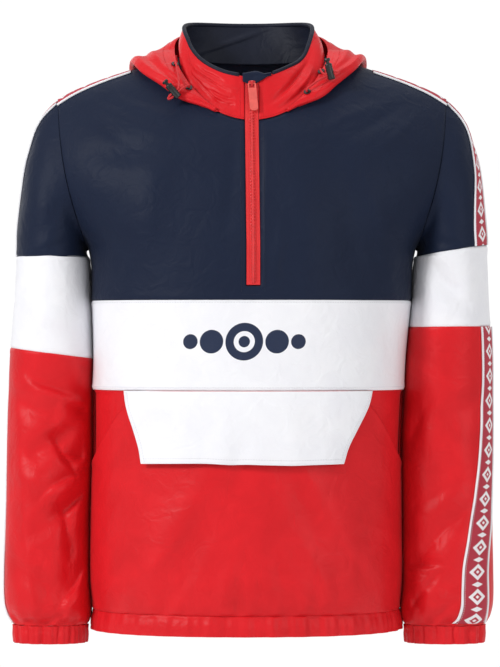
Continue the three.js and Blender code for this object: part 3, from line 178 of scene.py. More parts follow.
# Smaller creases that only the finished cloth has
front_creases = [
    (-152, -525, 62, 26, 5, 1.6),
    (-144, -548, 50, 30, 6, -1.8),
    (-160, -500, 75, 22, 5, 1.3),
    (-120, -600, 48, 45, 8, 2.0),
    (-75, -610, 60, 40, 8, -1.8),
    (-20, -600, 76, 48, 9, 2.0),
    (40, -605, -78, 42, 8, -1.8),
    (88, -600, -62, 46, 8, 2.2),
    (132, -590, -50, 40, 7, -2.0),
    (150, -545, -20, 30, 5, 1.8),
    (140, -556, -14, 34, 5, -1.8),
    (155, -566, -8, 26, 4, 1.4),
    (-30, -500, 68, 60, 12, 2.2),
    (60, -500, -70, 60, 12, -2.0),
    (-152, -70, -28, 36, 6, 1.8),
    (-170, -82, -34, 40, 7, -2.0),
    (-120, -62, -18, 34, 6, 1.6),
    (118, -66, 22, 34, 6, 1.8),
    (140, -78, 30, 38, 7, -2.0),
    (165, -92, 40, 36, 6, 1.6),
    (-165, -215, 66, 40, 8, 2.2),
    (-152, -240, 74, 36, 7, -2.0),
    (158, -205, -64, 42, 8, 2.4),
    (146, -236, -72, 38, 8, -2.2),
    (-172, -330, 82, 36, 6, 2.0),
    (170, -350, -84, 34, 6, 2.4),
    (176, -300, -80, 30, 6, -2.0),
    (30, -230, 84, 40, 6, 1.4),
    (-24, -150, 86, 60, 8, -1.6),
]
back_creases = [
    (-150, -200, 60, 46, 9, 2.4),
    (150, -200, -60, 46, 9, 2.4),
    (-60, -360, 70, 60, 12, 2.2),
    (64, -380, -66, 60, 12, -2.2),
    (-130, -590, 62, 50, 9, 2.2),
    (-40, -610, 80, 50, 9, -2.2),
    (60, -610, -78, 50, 9, 2.2),
    (140, -590, -60, 44, 9, -2.2),
    (-160, -420, 76, 50, 9, -2.4),
    (160, -440, -76, 50, 9, 2.4),
]


def fold_sum(folds, a, b):
    total = 0.0
    for x, z, turn, length, width, depth in folds:
        c = math.cos(math.radians(turn))
        s = math.sin(math.radians(turn))
        along = (a - x) * c + (b - z) * s
        across = -(a - x) * s + (b - z) * c
        across = across + 0.12 * width * np.sin(along / (0.35 * length) + x)
        total = total + depth * bump(along, length) * bump(across, width)
    return total


def rounding(drop):
    t = np.clip(drop / RIDGE_DROP, 0, 1)
    return (1 - (1 - t) ** RIDGE_POWER) ** (1 / RIDGE_POWER)


def armhole_x(z):
    s = np.clip((TIP_Z - z) / (TIP_Z - ARMPIT_Z), 0, 1)
    return mix(TIP_X, ARMPIT_X, s) + ARMHOLE_BOW * np.sin(math.pi * s)


def edge_x(z):
    z = np.asarray(z, float)
    low = np.where(z > ARMPIT_Z, armhole_x(z), torso_half(z))
    return np.where(z >= TIP_Z, TIP_X, low)


def sheet_depth(side, x, z, creases=True):
    full = torso_front(z) if side < 0 else torso_back(z)
    share = np.clip(np.abs(x) / torso_half(z), 0, 1)
    flat = (1 - share**SQUARENESS) ** (1 / SQUARENESS)
    fade = 1 - np.clip(np.abs(x) / edge_x(z), 0, 1) ** 6
    low = smooth((z - HEM_SEAM) / 25)
    high = smooth((ridge(np.abs(x)) - z - 12) / 60)
    folds = fold_sum(front_folds if side < 0 else back_folds, x, z)
    fine = fold_sum(front_creases if side < 0 else back_creases, x, z) if creases else 0.0
    near = smooth((ridge(np.abs(x)) - z - 6) / 25)
    gathers = hem_pucker(side, x, z) if creases else 0.0
    whole = rounding(ridge(np.abs(x)) - z) * full * flat
    return whole + folds * fade * low * high + (fine * near + gathers) * fade


def hem_pucker(side, x, z):
    """Soft tucks that run up from the elastic."""
    up = np.clip(z - HEM_SEAM, 0, None)
    wave = np.sin(x / 4.6 + 0.6 * np.sin(x / 13.0)) + 0.6 * np.sin(x / 7.7 + side)
    return 1.3 * wave * np.exp(-up / 26.0) * smooth(up / 5.0)


def sheet_point(side, x, z, creases=True):
    y = SIDE_Y + side * sheet_depth(side, x, z, creases)
    return np.stack([x + sway(z), y, z + 0 * x], axis=-1)


def neck_z(side, x):
    share = np.clip(np.abs(x) / NECK_HALF, 0, 1)
    if side < 0:
        return NECK_FRONT + (NECK_SIDE - NECK_FRONT) * (1 - np.sqrt(1 - share**1.9))
    return mix(NECK_BACK, NECK_SIDE, share**2)


def top_z(side, x):
    return np.where(np.abs(x) < NECK_HALF, neck_z(side, x), ridge(np.abs(x)))


def zip_x(z):
    return ZIP_TOP_X + ZIP_SLANT * np.clip((NECK_FRONT - z) / (NECK_FRONT - ZIP_END), 0, 1)


# Mesh making
def normals_of(p, closed=False):
    a = np.roll(p, -1, 0) - np.roll(p, 1, 0) if closed else np.gradient(p, axis=0)
    return unit(np.cross(a, np.gradient(p, axis=1)))


def outward(p):
    """Normals of a grid, turned so that most of them look away from the body's middle."""
    n = normals_of(p)
    away = p - np.array([0, SIDE_Y, 0])
    away[..., 2] *= 0.2
    return n if (n * away).sum() > 0 else -n


def make(name, verts, faces, uvs=None, smooth_faces=True):
    mesh = bpy.data.meshes.new(name)
    mesh.from_pydata((np.asarray(verts) * 0.001).tolist(), [], [list(map(int, f)) for f in faces])
    if uvs is not None:
        layer = mesh.uv_layers.new(name="cloth")
        loops = np.zeros(len(mesh.loops), dtype=np.int32)
        mesh.loops.foreach_get("vertex_index", loops)
        layer.data.foreach_set("uv", np.asarray(uvs)[loops].astype(np.float32).ravel())
    mesh.validate()
    mesh.polygons.foreach_set("use_smooth", [smooth_faces] * len(mesh.polygons))
    obj = bpy.data.objects.new(name, mesh)
    bpy.context.collection.objects.link(obj)
    return obj


def grid_faces(columns, rows, closed, keep=None):
    across = columns if closed else columns - 1
    i, j = np.meshgrid(np.arange(across), np.arange(rows - 1), indexing="ij")
    if keep is not None:
        mask = keep[:across, : rows - 1]
        i, j = i[mask], j[mask]
    i, j = i.ravel(), j.ravel()
    k = (i + 1) % columns
    return np.stack([i * rows + j, k * rows + j, k * rows + j + 1, i * rows + j + 1], axis=1)


grids = {}
grids_closed = {}


def wall(name, p, n, uv, thickness=CLOTH, closed=False, keep=None):
    """A closed cloth wall over a grid of outer points."""
    grids[name] = (p, np.broadcast_to(n, p.shape))
    grids_closed[name] = closed
    columns, rows = p.shape[:2]
    count = columns * rows
    outer = grid_faces(columns, rows, closed, keep)
    a = np.concatenate([outer[:, [0, 1]], outer[:, [1, 2]], outer[:, [2, 3]], outer[:, [3, 0]]])
    keys = np.sort(a, axis=1)
    _, index, times = np.unique(keys[:, 0] * count + keys[:, 1], return_index=True, return_counts=True)
    rim = a[index[times == 1]]
    edges = np.stack([rim[:, 1], rim[:, 0], rim[:, 0] + count, rim[:, 1] + count], axis=1)
    faces = np.concatenate([outer, outer[:, ::-1] + count, edges])
    if (np.cross(p[1, 0] - p[0, 0], p[0, 1] - p[0, 0]) * n[0, 0]).sum() < 0:
        faces = faces[:, ::-1]
    verts = np.concatenate([p.reshape(-1, 3), (p - n * thickness).reshape(-1, 3)])
    flat = np.concatenate([uv.reshape(-1, 2), uv.reshape(-1, 2)])
    used = np.zeros(len(verts), bool)
    used[faces.ravel()] = True
    renumber = np.cumsum(used) - 1
    return make(name, verts[used], renumber[faces], flat[used])


def reach(p, axis):
    """Distance along a grid or a line from its first row, column or point."""
    step = np.linalg.norm(np.diff(p, axis=axis), axis=-1)
    start = np.zeros_like(np.take(step, [0], axis=axis))
    return np.cumsum(np.concatenate([start, step], axis=axis), axis=axis)


def lengths(p, axis):
    """The same distance in metres."""
    return reach(p, axis) * 0.001


def place_at(at, run, line):
    """The point of a line at a distance along it."""
    return np.stack([np.interp(at, run, line[:, i]) for i in range(3)], axis=-1)


def cloth_uv(p):
    middle = p.shape[0] // 2
    u = lengths(p, 0)
    return np.stack([u - u[middle : middle + 1], -lengths(p, 1)], axis=-1)


def spaced(length, step=3.0, ends=(0.7, 1.5, 2.6)):
    """Shares of a length with closer rows next to both ends, for the dip at a seam."""
    inner = np.linspace(4.0, length - 4.0, max(2, int(round((length - 8) / step)) + 1))
    rows = np.concatenate([[0.0], ends, inner, length - np.array(ends)[::-1], [length]])
    return rows / length


def seam_dip(d, depth=0.8):
    """How far the cloth sinks at a distance from its seam, with the swelling beside it."""
    return -depth * bump(d, 1.0) + 0.45 * bump(d - 4.5, 2.6)


def add_seams(p, n, dips=(True, True), sides=False):
    """Sinks a grid at its first and last row, and at both sides of a panel."""
    down = reach(p, 1)
    across = reach(p, 0)
    out = 0.0
    if dips[0]:
        out = out + seam_dip(down)
    if dips[1]:
        out = out + seam_dip(down[:, -1:] - down)
    if sides:
        out = out + seam_dip(across) + seam_dip(across[-1:] - across)
    return p + n * np.asarray(out)[..., None]


# Materials
def material(name, colour, roughness, **extra):
    mat = bpy.data.materials.new(name)
    mat.use_nodes = True
    tree = mat.node_tree
    shader = tree.nodes["Principled BSDF"]
    shader.inputs["Base Color"].default_value = (*colour, 1)
    shader.inputs["Roughness"].default_value = roughness
    for key, value in extra.items():
        shader.inputs[key.replace("_", " ")].default_value = value
    return mat, tree, shader


def node(tree, kind, inputs=None, **values):
    made = tree.nodes.new(kind)
    for key, value in values.items():
        setattr(made, key, value)
    for key, value in (inputs or {}).items():
        made.inputs[key].default_value = value
    return made


def math_node(tree, operation, a, b=None):
    made = node(tree, "ShaderNodeMath", operation=operation)
    for slot, value in zip(made.inputs, (a, b)):
        if isinstance(value, (int, float)):
            slot.default_value = value
        elif value is not None:
            tree.links.new(value, slot)
    return made.outputs[0]


def object_place(tree):
    return node(tree, "ShaderNodeTexCoord").outputs["Object"]


def cloth_axes(tree):
    """The cloth's own distances across and down, in metres."""
    apart = node(tree, "ShaderNodeSeparateXYZ")
    tree.links.new(node(tree, "ShaderNodeUVMap", uv_map="cloth").outputs["UV"], apart.inputs[0])
    return apart.outputs["X"], apart.outputs["Y"]


def noise(tree, place, **inputs):
    made = node(tree, "ShaderNodeTexNoise", inputs)
    tree.links.new(place, made.inputs["Vector"])
    return made.outputs["Fac"]


def paint(tree, value, first, second):
    """Colours a shader between two stops, each a position and a colour."""
    ramp = node(tree, "ShaderNodeValToRGB")
    for stop, (position, colour) in zip(ramp.color_ramp.elements, (first, second)):
        stop.position = position
        stop.color = (*colour, 1)
    tree.links.new(value, ramp.inputs["Fac"])
    tree.links.new(ramp.outputs["Color"], tree.nodes["Principled BSDF"].inputs["Base Color"])


def blend(tree, share, first, second):
    """Colours a shader with a mix of two colours, each plain or from a socket."""
    made = node(tree, "ShaderNodeMix", data_type="RGBA")
    for place, value in ((0, share), (6, first), (7, second)):
        if isinstance(value, tuple):
            made.inputs[place].default_value = (*value, 1)
        else:
            tree.links.new(value, made.inputs[place])
    tree.links.new(made.outputs[2], tree.nodes["Principled BSDF"].inputs["Base Color"])


def relief(tree, height, strength, distance, under=None):
    """Gives a shader a bump, over another one where there is one."""
    made = node(tree, "ShaderNodeBump", {"Strength": strength, "Distance": distance})
    tree.links.new(height, made.inputs["Height"])
    if under is not None:
        tree.links.new(under, made.inputs["Normal"])
    tree.links.new(made.outputs["Normal"], tree.nodes["Principled BSDF"].inputs["Normal"])
    return made.outputs["Normal"]


def shell_cloth(name, colour, shade, roughness=0.46, weave=0.08, crinkle=0.35, gloss=0.2):
    """Woven nylon: fine threads, a soft crinkle, and a slightly uneven colour."""
    sheen = {"Sheen_Weight": 0.03, "Sheen_Roughness": 0.4}
    mat, tree, _ = material(name, colour, roughness, Specular_IOR_Level=gloss, **sheen)
    place = object_place(tree)
    paint(tree, noise(tree, place, Scale=26, Detail=4, Distortion=0.6), (0.3, shade), (0.68, colour))
    folds = noise(tree, place, Scale=48, Detail=3, Roughness=0.45, Distortion=1.2)
    calc = partial(math_node, tree)
    warp, weft = [calc("SINE", calc("MULTIPLY", axis, 9000.0)) for axis in cloth_axes(tree)]
    crinkled = relief(tree, folds, crinkle, 0.004)
    relief(tree, calc("MULTIPLY", warp, weft), weave, 0.0003, crinkled)
    return mat


NAVY = (0.0105, 0.0165, 0.038)
NAVY_SHADE = (0.010, 0.0155, 0.036)
RED = (0.68, 0.010, 0.016)
RED_SHADE = (0.60, 0.008, 0.013)
WHITE = (0.86, 0.86, 0.89)
WHITE_SHADE = (0.82, 0.82, 0.86)
navy_cloth = shell_cloth("navy_shell", NAVY, NAVY_SHADE, 0.5, gloss=0.1)
red_cloth = shell_cloth("red_shell", RED, RED_SHADE, 0.42)
white_cloth = shell_cloth("white_shell", WHITE, WHITE_SHADE, 0.5)


def printed_band():
    """The light cloth with a plain printed row of five discs, in the dark cloth's colour."""
    mat = shell_cloth("white_shell_printed", WHITE, WHITE_SHADE, 0.5)
    tree = mat.node_tree
    cloth = tree.nodes["Principled BSDF"].inputs["Base Color"].links[0].from_socket
    x, y = cloth_axes(tree)
    calc = partial(math_node, tree)
    down = calc("POWER", calc("SUBTRACT", y, PRINT_Y), 2.0)
    ink = 0.0
    for place, radius, hole in print_discs:
        across = calc("POWER", calc("SUBTRACT", x, PRINT_X + place), 2.0)
        far = calc("SQRT", calc("ADD", across, down))
        disc = calc("MULTIPLY", calc("LESS_THAN", far, radius), calc("GREATER_THAN", far, hole))
        ink = calc("MAXIMUM", ink, disc)
    blend(tree, ink, cloth, PRINT_INK)
    return mat


PRINT_X, PRINT_Y = -0.0065, -0.048
PRINT_INK = (0.020, 0.030, 0.066)
# Each disc of the print: place across, radius, radius of the hole in it
print_discs = [
    (-0.062, 0.0085, 0.0),
    (-0.0375, 0.0135, 0.0),
    (0.0, 0.0215, 0.012),
    (0.0, 0.0065, 0.0),
    (0.0375, 0.0135, 0.0),
    (0.062, 0.0085, 0.0),
]
printed_cloth = printed_band()
lining_cloth = shell_cloth("navy_lining", (0.009, 0.012, 0.026), (0.007, 0.009, 0.02), 0.55)
piping_cloth = shell_cloth("white_piping", (0.84, 0.84, 0.86), (0.76, 0.76, 0.8), 0.6, crinkle=0.1)
pieces = {}


def finish_piece(obj, mat, node_name, body="garment"):
    obj.data.materials.append(mat)
    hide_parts(node_name)
    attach(obj, body)
    pieces[node_name] = obj


def cloth_piece(name, p, n, mat, slot, uv=None, **values):
    """A cloth wall that takes the place of the solid of the same name."""
    obj = wall(f"{name}_cloth", p, n, cloth_uv(p) if uv is None else uv, **values)
    finish_piece(obj, mat, name)


def sewn_panel(name, p, mat, slot, **values):
    """A body panel, sunk at the seams all round."""
    n = outward(p)
    cloth_piece(name, add_seams(p, n, sides=True), n, mat, slot, **values)


# Camera and light
def aim(obj, at):
    way = mathutils.Vector(at) - obj.location
    obj.rotation_euler = way.to_track_quat("-Z", "Y").to_euler()


AIM_X = -0.0024
AIM_Z = -0.3204
CAMERA_AWAY = 4.0
VIEW_HEIGHT = 0.787
SENSOR = 36
camera_data = bpy.data.cameras.new("camera")
camera_data.sensor_fit = "VERTICAL"
camera_data.sensor_height = SENSOR
camera_data.lens = SENSOR * CAMERA_AWAY / VIEW_HEIGHT
camera = bpy.data.objects.new("camera", camera_data)
camera.location = (AIM_X, -CAMERA_AWAY, AIM_Z)
camera.rotation_euler = (math.pi / 2, 0, 0)
bpy.context.collection.objects.link(camera)
bpy.context.scene.camera = camera


def light(name, at, size, power):
    data = bpy.data.lights.new(name, "AREA")
    data.size = size
    data.energy = power
    obj = bpy.data.objects.new(name, data)
    obj.location = at
    bpy.context.collection.objects.link(obj)
    aim(obj, (0, 0, -0.33))


light("key", (-2.3, -2.0, 1.2), 0.7, 57)
light("fill", (2.0, -2.6, 0.4), 1.6, 19)
light("top", (0.2, 0.6, 2.4), 2.0, 20)
light("back_left", (-1.2, 2.2, 0.7), 1.4, 6)
light("back_right", (1.6, 1.9, 0.5), 1.4, 5)
world = bpy.data.worlds.new("studio")
world.use_nodes = True
WORLD_DIM = 0.58
sky = world.node_tree
sky_way = node(sky, "ShaderNodeSeparateXYZ")
sky.links.new(node(sky, "ShaderNodeTexCoord").outputs["Generated"], sky_way.inputs[0])
# The sky is brighter in the small part of it that the camera sees behind the garment
sky_range = {"From Min": 0.955, "From Max": 0.985, "To Min": WORLD_DIM, "To Max": 1.02}
behind = node(sky, "ShaderNodeMapRange", sky_range, interpolation_type="SMOOTHSTEP")
sky.links.new(sky_way.outputs["Y"], behind.inputs["Value"])
sky.nodes["Background"].inputs["Color"].default_value = (1, 1, 1, 1)
sky.links.new(behind.outputs["Result"], sky.nodes["Background"].inputs["Strength"])
bpy.context.scene.world = world
bpy.context.scene.view_settings.view_transform = "Standard"

FLOOR_Z = -900.0
FLOOR_HALF = 1400.0
corners = [(-1, -1), (1, -1), (1, 1), (-1, 1)]
floor_points = [[FLOOR_HALF * x, FLOOR_HALF * y, FLOOR_Z] for x, y in corners]
floor = make("floor", floor_points, [[0, 1, 2, 3]])
floor_mat, _, _ = material("floor", (0.93, 0.93, 0.93), 0.9)
floor.data.materials.append(floor_mat)


# Body panels
def yoke_rows():
    """Shares of the yoke's height, closer at its top and at its seam."""
    upper = SLIT_SHARE * np.linspace(0, 1, 96) ** 1.5
    lower = np.linspace(SLIT_SHARE, 1, 9)[1:-1]
    near = 1 - np.array([2.6, 1.5, 0.7]) / (NECK_FRONT - BAND_TOP)
    return np.unique(np.round(np.concatenate([upper, lower, near, [1.0]]), 6))


def side_columns():
    """Shares of the half width from the edge in, with a column at the neck point."""
    step = 3.0
    outer = np.linspace(1, NECK_SHARE, int((1 - NECK_SHARE) * TIP_X / step) + 1)
    inner = np.linspace(NECK_SHARE, 0.0, int(NECK_SHARE * TIP_X / step) + 1)[1:]
    near = 1 - np.array([0.0, 0.7, 1.5, 2.6]) / TIP_X
    return np.unique(np.round(np.concatenate([near, outer[2:], inner]), 6))[::-1]


def panel(side, columns, rows_of, middle=None):
    """Grid of a body panel. columns are signed shares, and middle adds the column beside the slit."""
    lines = []
    for c in columns:
        z = rows_of(c)
        lines.append(sheet_point(side, c * edge_x(z), z))
    if middle is not None:
        z = rows_of(0.0)
        lines.insert(0 if middle > 0 else len(lines), sheet_point(side, zip_x(z) + middle * ZIP_SLIT, z))
    return np.array(lines)


def yoke_heights(side, rows):
    return lambda c: mix(top_z(side, c * TIP_X), BAND_TOP, rows)


def front_yoke():
    rows = yoke_rows()
    shares = side_columns()
    left = [-c for c in shares if c > SLIT_COLUMNS[0]]
    right = [c for c in shares[::-1] if c > SLIT_COLUMNS[1]]
    a = panel(-1, left, yoke_heights(-1, rows), -1)
    b = panel(-1, right, yoke_heights(-1, rows), 1)
    p = np.concatenate([a, b])
    keep = np.ones((p.shape[0] - 1, p.shape[1] - 1), bool)
    keep[len(a) - 1, : int(np.argmin(np.abs(rows - SLIT_SHARE)))] = False
    sewn_panel("front_yoke", p, navy_cloth, "navy_cloth", keep=keep)


def full_columns():
    inner = [c for c in side_columns() if c > 0.001]
    return np.array([-c for c in inner] + [0.0] + inner[::-1])


def back_yoke():
    p = panel(1, full_columns(), yoke_heights(1, yoke_rows()))
    sewn_panel("back_yoke", p, navy_cloth, "navy_cloth")


def band(side, name, mat):
    rows = spaced(BAND_TOP - BAND_BOTTOM)
    p = panel(side, full_columns(), lambda c: mix(BAND_TOP, BAND_BOTTOM, rows))
    sewn_panel(name, p, mat, "white_cloth")


# Height of the pocket mouth's edge: distance from the middle, height
MOUTH_START = 118
mouth = curve([(MOUTH_START, -389), (137, -400), (151, -413), (166, -436), (184, -470)], 1)


def lower_body(side, name):
    rows = spaced(BAND_BOTTOM - HEM_SEAM)

    def heights(c):
        x = abs(c) * float(torso_half(BAND_BOTTOM))
        cut = side < 0 and x > MOUTH_START
        return mix(min(BAND_BOTTOM, float(mouth(x))) if cut else BAND_BOTTOM, HEM_SEAM, rows)

    p = panel(side, full_columns(), heights)
    sewn_panel(name, p, red_cloth, "red_cloth", thickness=1.4 if side < 0 else CLOTH)


# How far the pocket facings reach down: share of the half width, depth
facing_depth = curve([(0.56, 40), (0.67, 46), (0.77, 56), (0.86, 72), (0.93, 92), (0.98, 104), (1, 104)], 1)


def pocket_facing(sign, name):
    lines = []
    for c in np.linspace(0.56, 1, 30) * sign:
        bottom = BAND_BOTTOM - float(facing_depth(abs(c)))
        z = mix(BAND_BOTTOM + 0.2, bottom, np.linspace(0, 1, 26))
        lines.append(sheet_point(-1, c * edge_x(z), z))
    p = np.array(lines)
    n = outward(p)
    sink = np.where(np.arange(26) == 0, 1.2, 3.2)[None, :, None]
    cloth_piece(name, p - n * sink, n, red_cloth, "red_cloth", thickness=0.8)


# Pocket flap: height, left, right, how far it stands off
FLAP_TOP = -386.4
FLAP_BOTTOM = -470.0
FLAP_HEIGHT = 84
FLAP_WIDTH = 286
flap_outline = [
    (FLAP_BOTTOM, -117, 107, 9),
    (-452, -121, 113, 8),
    (-430, -129, 124, 6.4),
    (-404, -138, 137, 5),
    (FLAP_TOP, -143, 143, 2),
]
flap_left = curve(flap_outline, 1)
flap_right = curve(flap_outline, 2)
flap_lift = curve(flap_outline, 3)


def pocket_flap():
    z = mix(FLAP_TOP, FLAP_BOTTOM, spaced(FLAP_HEIGHT, 2.4))
    share = spaced(FLAP_WIDTH, 2.6)[:, None] * 2 - 1
    x = np.where(share < 0, -share * flap_left(z), share * flap_right(z))
    z = np.broadcast_to(z, x.shape)
    low = (FLAP_TOP - z) / FLAP_HEIGHT
    sag = 0.9 * low * np.sin(x / 17.0 + 0.8) + 0.5 * low * np.sin(x / 6.5)
    base = sheet_point(-1, x, z - 0.9 * low**3 * np.sin(x / 40.0), creases=False)
    n = outward(base)
    edge = np.minimum(1 - np.abs(share), (z - FLAP_BOTTOM) / FLAP_HEIGHT * 0.9)
    roll = -1.1 * bump(edge * 120, 2.2)
    p = base + n * (flap_lift(z) + sag + roll)[..., None]
    cloth_piece("pocket_flap", p, n, white_cloth, "white_cloth", thickness=1.5)


WAIST_GATHERS = 36


def waistband():
    columns = WAIST_GATHERS * 18
    angle = np.arange(columns)[:, None] / columns * 2 * math.pi
    tall = HEM_SEAM - HEM_BOTTOM
    tucked = 1.2
    z = mix(HEM_SEAM + tucked, HEM_BOTTOM, spaced(tall + tucked, 1.6, (0.6, 1.4, 2.4)))
    c = np.cos(angle)
    s = np.sin(angle)
    depth = np.where(c > 0, torso_front(z), torso_back(z))
    side = np.where(c > 0, -1, 1)
    power = 2 / SQUARENESS
    half = torso_half(z)
    x = half * np.sign(s) * np.abs(s) ** power
    y = SIDE_Y + side * depth * np.abs(c) ** power
    zz = np.broadcast_to(z, x.shape)
    p = np.stack([x + sway(zz), y, zz], axis=-1)
    n = unit(np.stack([x / half**2, (y - SIDE_Y) / depth**2, 0 * x], axis=-1))
    k = angle / (2 * math.pi) * WAIST_GATHERS
    drift = 0.25 * np.sin(3.1 * angle) + 0.12 * np.sin(7 * angle)
    main = np.cos(2 * math.pi * (k + drift)) * (1 + 0.3 * np.sin(5 * angle))
    fine = 0.55 * np.cos(2 * math.pi * (k * 2.5 + 0.4 * np.sin(4 * angle)))
    down = (HEM_SEAM - zz) / tall
    drawn = (0.75 + 0.35 * np.sin(angle)) * smooth((down * tall + 1) / 3.5)
    lean = drawn * (1.1 * main + fine * (0.6 + 0.4 * np.sin(math.pi * down)))
    rows = 0.35 * bump((down - 0.16) * tall, 1.1) + 0.35 * bump((down - 0.84) * tall, 1.1)
    channel = 0.5 * bump((down - 0.5) * tall, 5) - rows - 1.3 * bump(down * tall + 0.8, 1.2)
    push = lean - 0.4 + channel + 0.8 * np.sin(math.pi * np.clip(down, 0, 1))
    p = p + n * push[..., None]
    cloth_piece("waistband", p, n, red_cloth, "red_cloth", thickness=1.2, closed=True)


front_yoke()
back_yoke()
band(-1, "front_band", printed_cloth)
band(1, "back_band", white_cloth)
lower_body(-1, "lower_front")
lower_body(1, "lower_back")
pocket_facing(-1, "pocket_facing_right")
pocket_facing(1, "pocket_facing_left")
pocket_flap()
waistband()

# Sleeves. A station below 0 is a plane fanned about the underarm, in degrees from level, and above 0
# it is a distance down the arm.
ARMHOLE_TURN = math.degrees(math.atan2(TIP_Z - ARMPIT_Z, TIP_X - ARMPIT_X))
PIVOT_INSET = 8.0
UNDERARM_REACH = 1.8
PIVOT_X = ARMPIT_X - PIVOT_INSET * math.cos(math.radians(ARMHOLE_TURN))
PIVOT_Z = ARMPIT_Z - PIVOT_INSET * math.sin(math.radians(ARMHOLE_TURN))
fan_sections = [
    (0, 86.1, 66),
    (12, 88, 66),
    (31, 97, 66),
    (46, 114, 66),
    (60, 143, 66),
    (70, 171, 65),
    (ARMHOLE_TURN, 188, 62),
]
fan_reach = curve(fan_sections, 1)
fan_depth = curve(fan_sections, 2)
# Distance down, outer line, gap to the body, half depth, centre depth
sleeve_sections = [
    (0, 277.5, 0.9, 66, 5),
    (50, 280, -0.5, 65, 6),
    (110, 284, -0.7, 62, 7),
    (200, 286, -0.8, 59, 6),
    (300, 286.5, -0.8, 58, 0),
    (370, 287.5, -0.8, 57, -6),
    (405, 287, -0.4, 54, -9),
    (422, 283, 0.2, 47, -10),
    (432, 277, 3, 37, -11),
    (453, 276, 3.2, 36, -12),
]
sleeve_outer = curve(sleeve_sections, 1)
sleeve_gap = curve(sleeve_sections, 2)
sleeve_depth = curve(sleeve_sections, 3)
sleeve_mid = curve(sleeve_sections, 4)
# Main folds: angle round the sleeve, distance down, slope, spread, width, height
sleeve_folds = {
    "right": [
        (60, 175, 0.35, 38, 14, -6),
        (95, 215, -0.5, 32, 13, -8),
        (80, 262, 0.2, 36, 14, 5),
        (105, 300, -0.7, 34, 16, -6),
        (70, 372, 0.5, 36, 14, -4),
        (200, 240, 0.3, 50, 18, -7),
        (240, 320, -0.3, 45, 18, -6),
        (90, 70, 0.4, 40, 12, 3),
    ],
    "left": [
        (95, 40, -0.6, 36, 14, -5),
        (70, 180, 0.3, 40, 16, -4),
        (100, 250, -0.5, 36, 16, -5),
        (60, 330, 0.5, 40, 18, 4),
        (95, 385, -0.5, 34, 12, -5),
        (205, 240, 0.3, 50, 18, -7),
        (245, 310, -0.3, 45, 18, -6),
    ],
}
# Folds as lines from a shallow end to a deep end: angle and distance down of both ends, bend, width
# above, width below, height
sleeve_lines = {
    "right": [
        (58, 138, 168, 166, 7, 20, 4, -9),
        (70, 149, 168, 174, 7, 4, 10, 4),
        (115, 175, 174, 188, 0, 4, 9, -14),
        (117, 186, 170, 205, 0, 3, 7, 4),
        (93, 207, 119, 243, 3, 26, 3, -10),
        (106, 228, 174, 238, 4, 28, 3, -12),
        (108, 244, 170, 246, 0, 4, 10, 5),
        (80, 285, 150, 256, -11, 14, 3, -7),
        (98, 280, 146, 268, -4, 4, 10, 3.5),
        (102, 305, 174, 264, -2, 20, 5, -12),
        (160, 268, 160, 336, 0, 12, 10, -8),
        (105, 288, 120, 340, -3, 16, 5, -8),
        (126, 330, 118, 372, 0, 12, 10, -5),
        (98, 414, 174, 342, 0, 22, 4, -12),
        (110, 417, 168, 376, 0, 4, 10, 4),
        (20, 414, 67, 431, 5, 7, 2.5, -4),
        (66, 431, 104, 419, 4, 6, 2.5, -4),
        (93, 424, 134, 424, 6, 6, 2.5, -4),
        (64, 236, 98, 226, 0, 10, 8, -3),
        (35, 130, 66, 360, -4, 18, 10, 3),
        (78, 330, 92, 400, 0, 18, 12, -3),
        (92, 198, 100, 174, 0, 14, 7, -3),
        (120, 120, 168, 132, 3, 14, 4, -6),
        (210, 150, 260, 176, 0, 12, 7, -5),
        (200, 205, 262, 190, 0, 14, 6, -5),
        (220, 250, 286, 262, 5, 14, 7, -5),
        (205, 300, 270, 282, 0, 12, 6, -5),
        (230, 345, 290, 330, 0, 14, 7, -4),
        (290, 150, 320, 230, 0, 14, 14, -3),
        (250, 395, 300, 405, 4, 9, 4, -3),
    ],
    "left": [
        (96, 360, 176, 362, 0, 20, 2.5, -11),
        (102, 372, 172, 380, 4, 5, 14, 5),
        (110, 166, 162, 240, 0, 18, 10, -8),
        (64, 290, 114, 338, 0, 18, 7, -6),
        (80, 262, 132, 292, 4, 18, 8, -4),
        (120, 390, 136, 406, 0, 6, 4, -5),
        (93, 362, 114, 382, 0, 8, 4, -4.5),
        (118, 418, 152, 392, 0, 11, 3.5, -6),
        (83, 403, 106, 426, 0, 9, 4, -4.5),
        (58, 411, 86, 427, 3, 7, 3.5, -4),
        (144, 2, 176, 14, 0, 9, 5, -7),
        (142, 40, 178, 54, 0, 10, 4, -9),
        (82, 46, 114, 14, 0, 12, 8, -4),
        (148, 96, 176, 118, 0, 14, 5, -7),
        (118, 120, 162, 100, 0, 12, 7, -4.5),
        (90, 190, 104, 260, 0, 22, 16, -3),
        (212, 150, 262, 172, 0, 12, 7, -5),
        (202, 206, 260, 196, 0, 14, 6, -5),
        (222, 246, 288, 262, 5, 14, 7, -5),
        (206, 300, 270, 286, 0, 12, 6, -5),
        (232, 346, 292, 332, 0, 14, 7, -4),
        (292, 150, 322, 228, 0, 14, 14, -3),
        (252, 396, 302, 404, 4, 9, 4, -3),
    ],
}


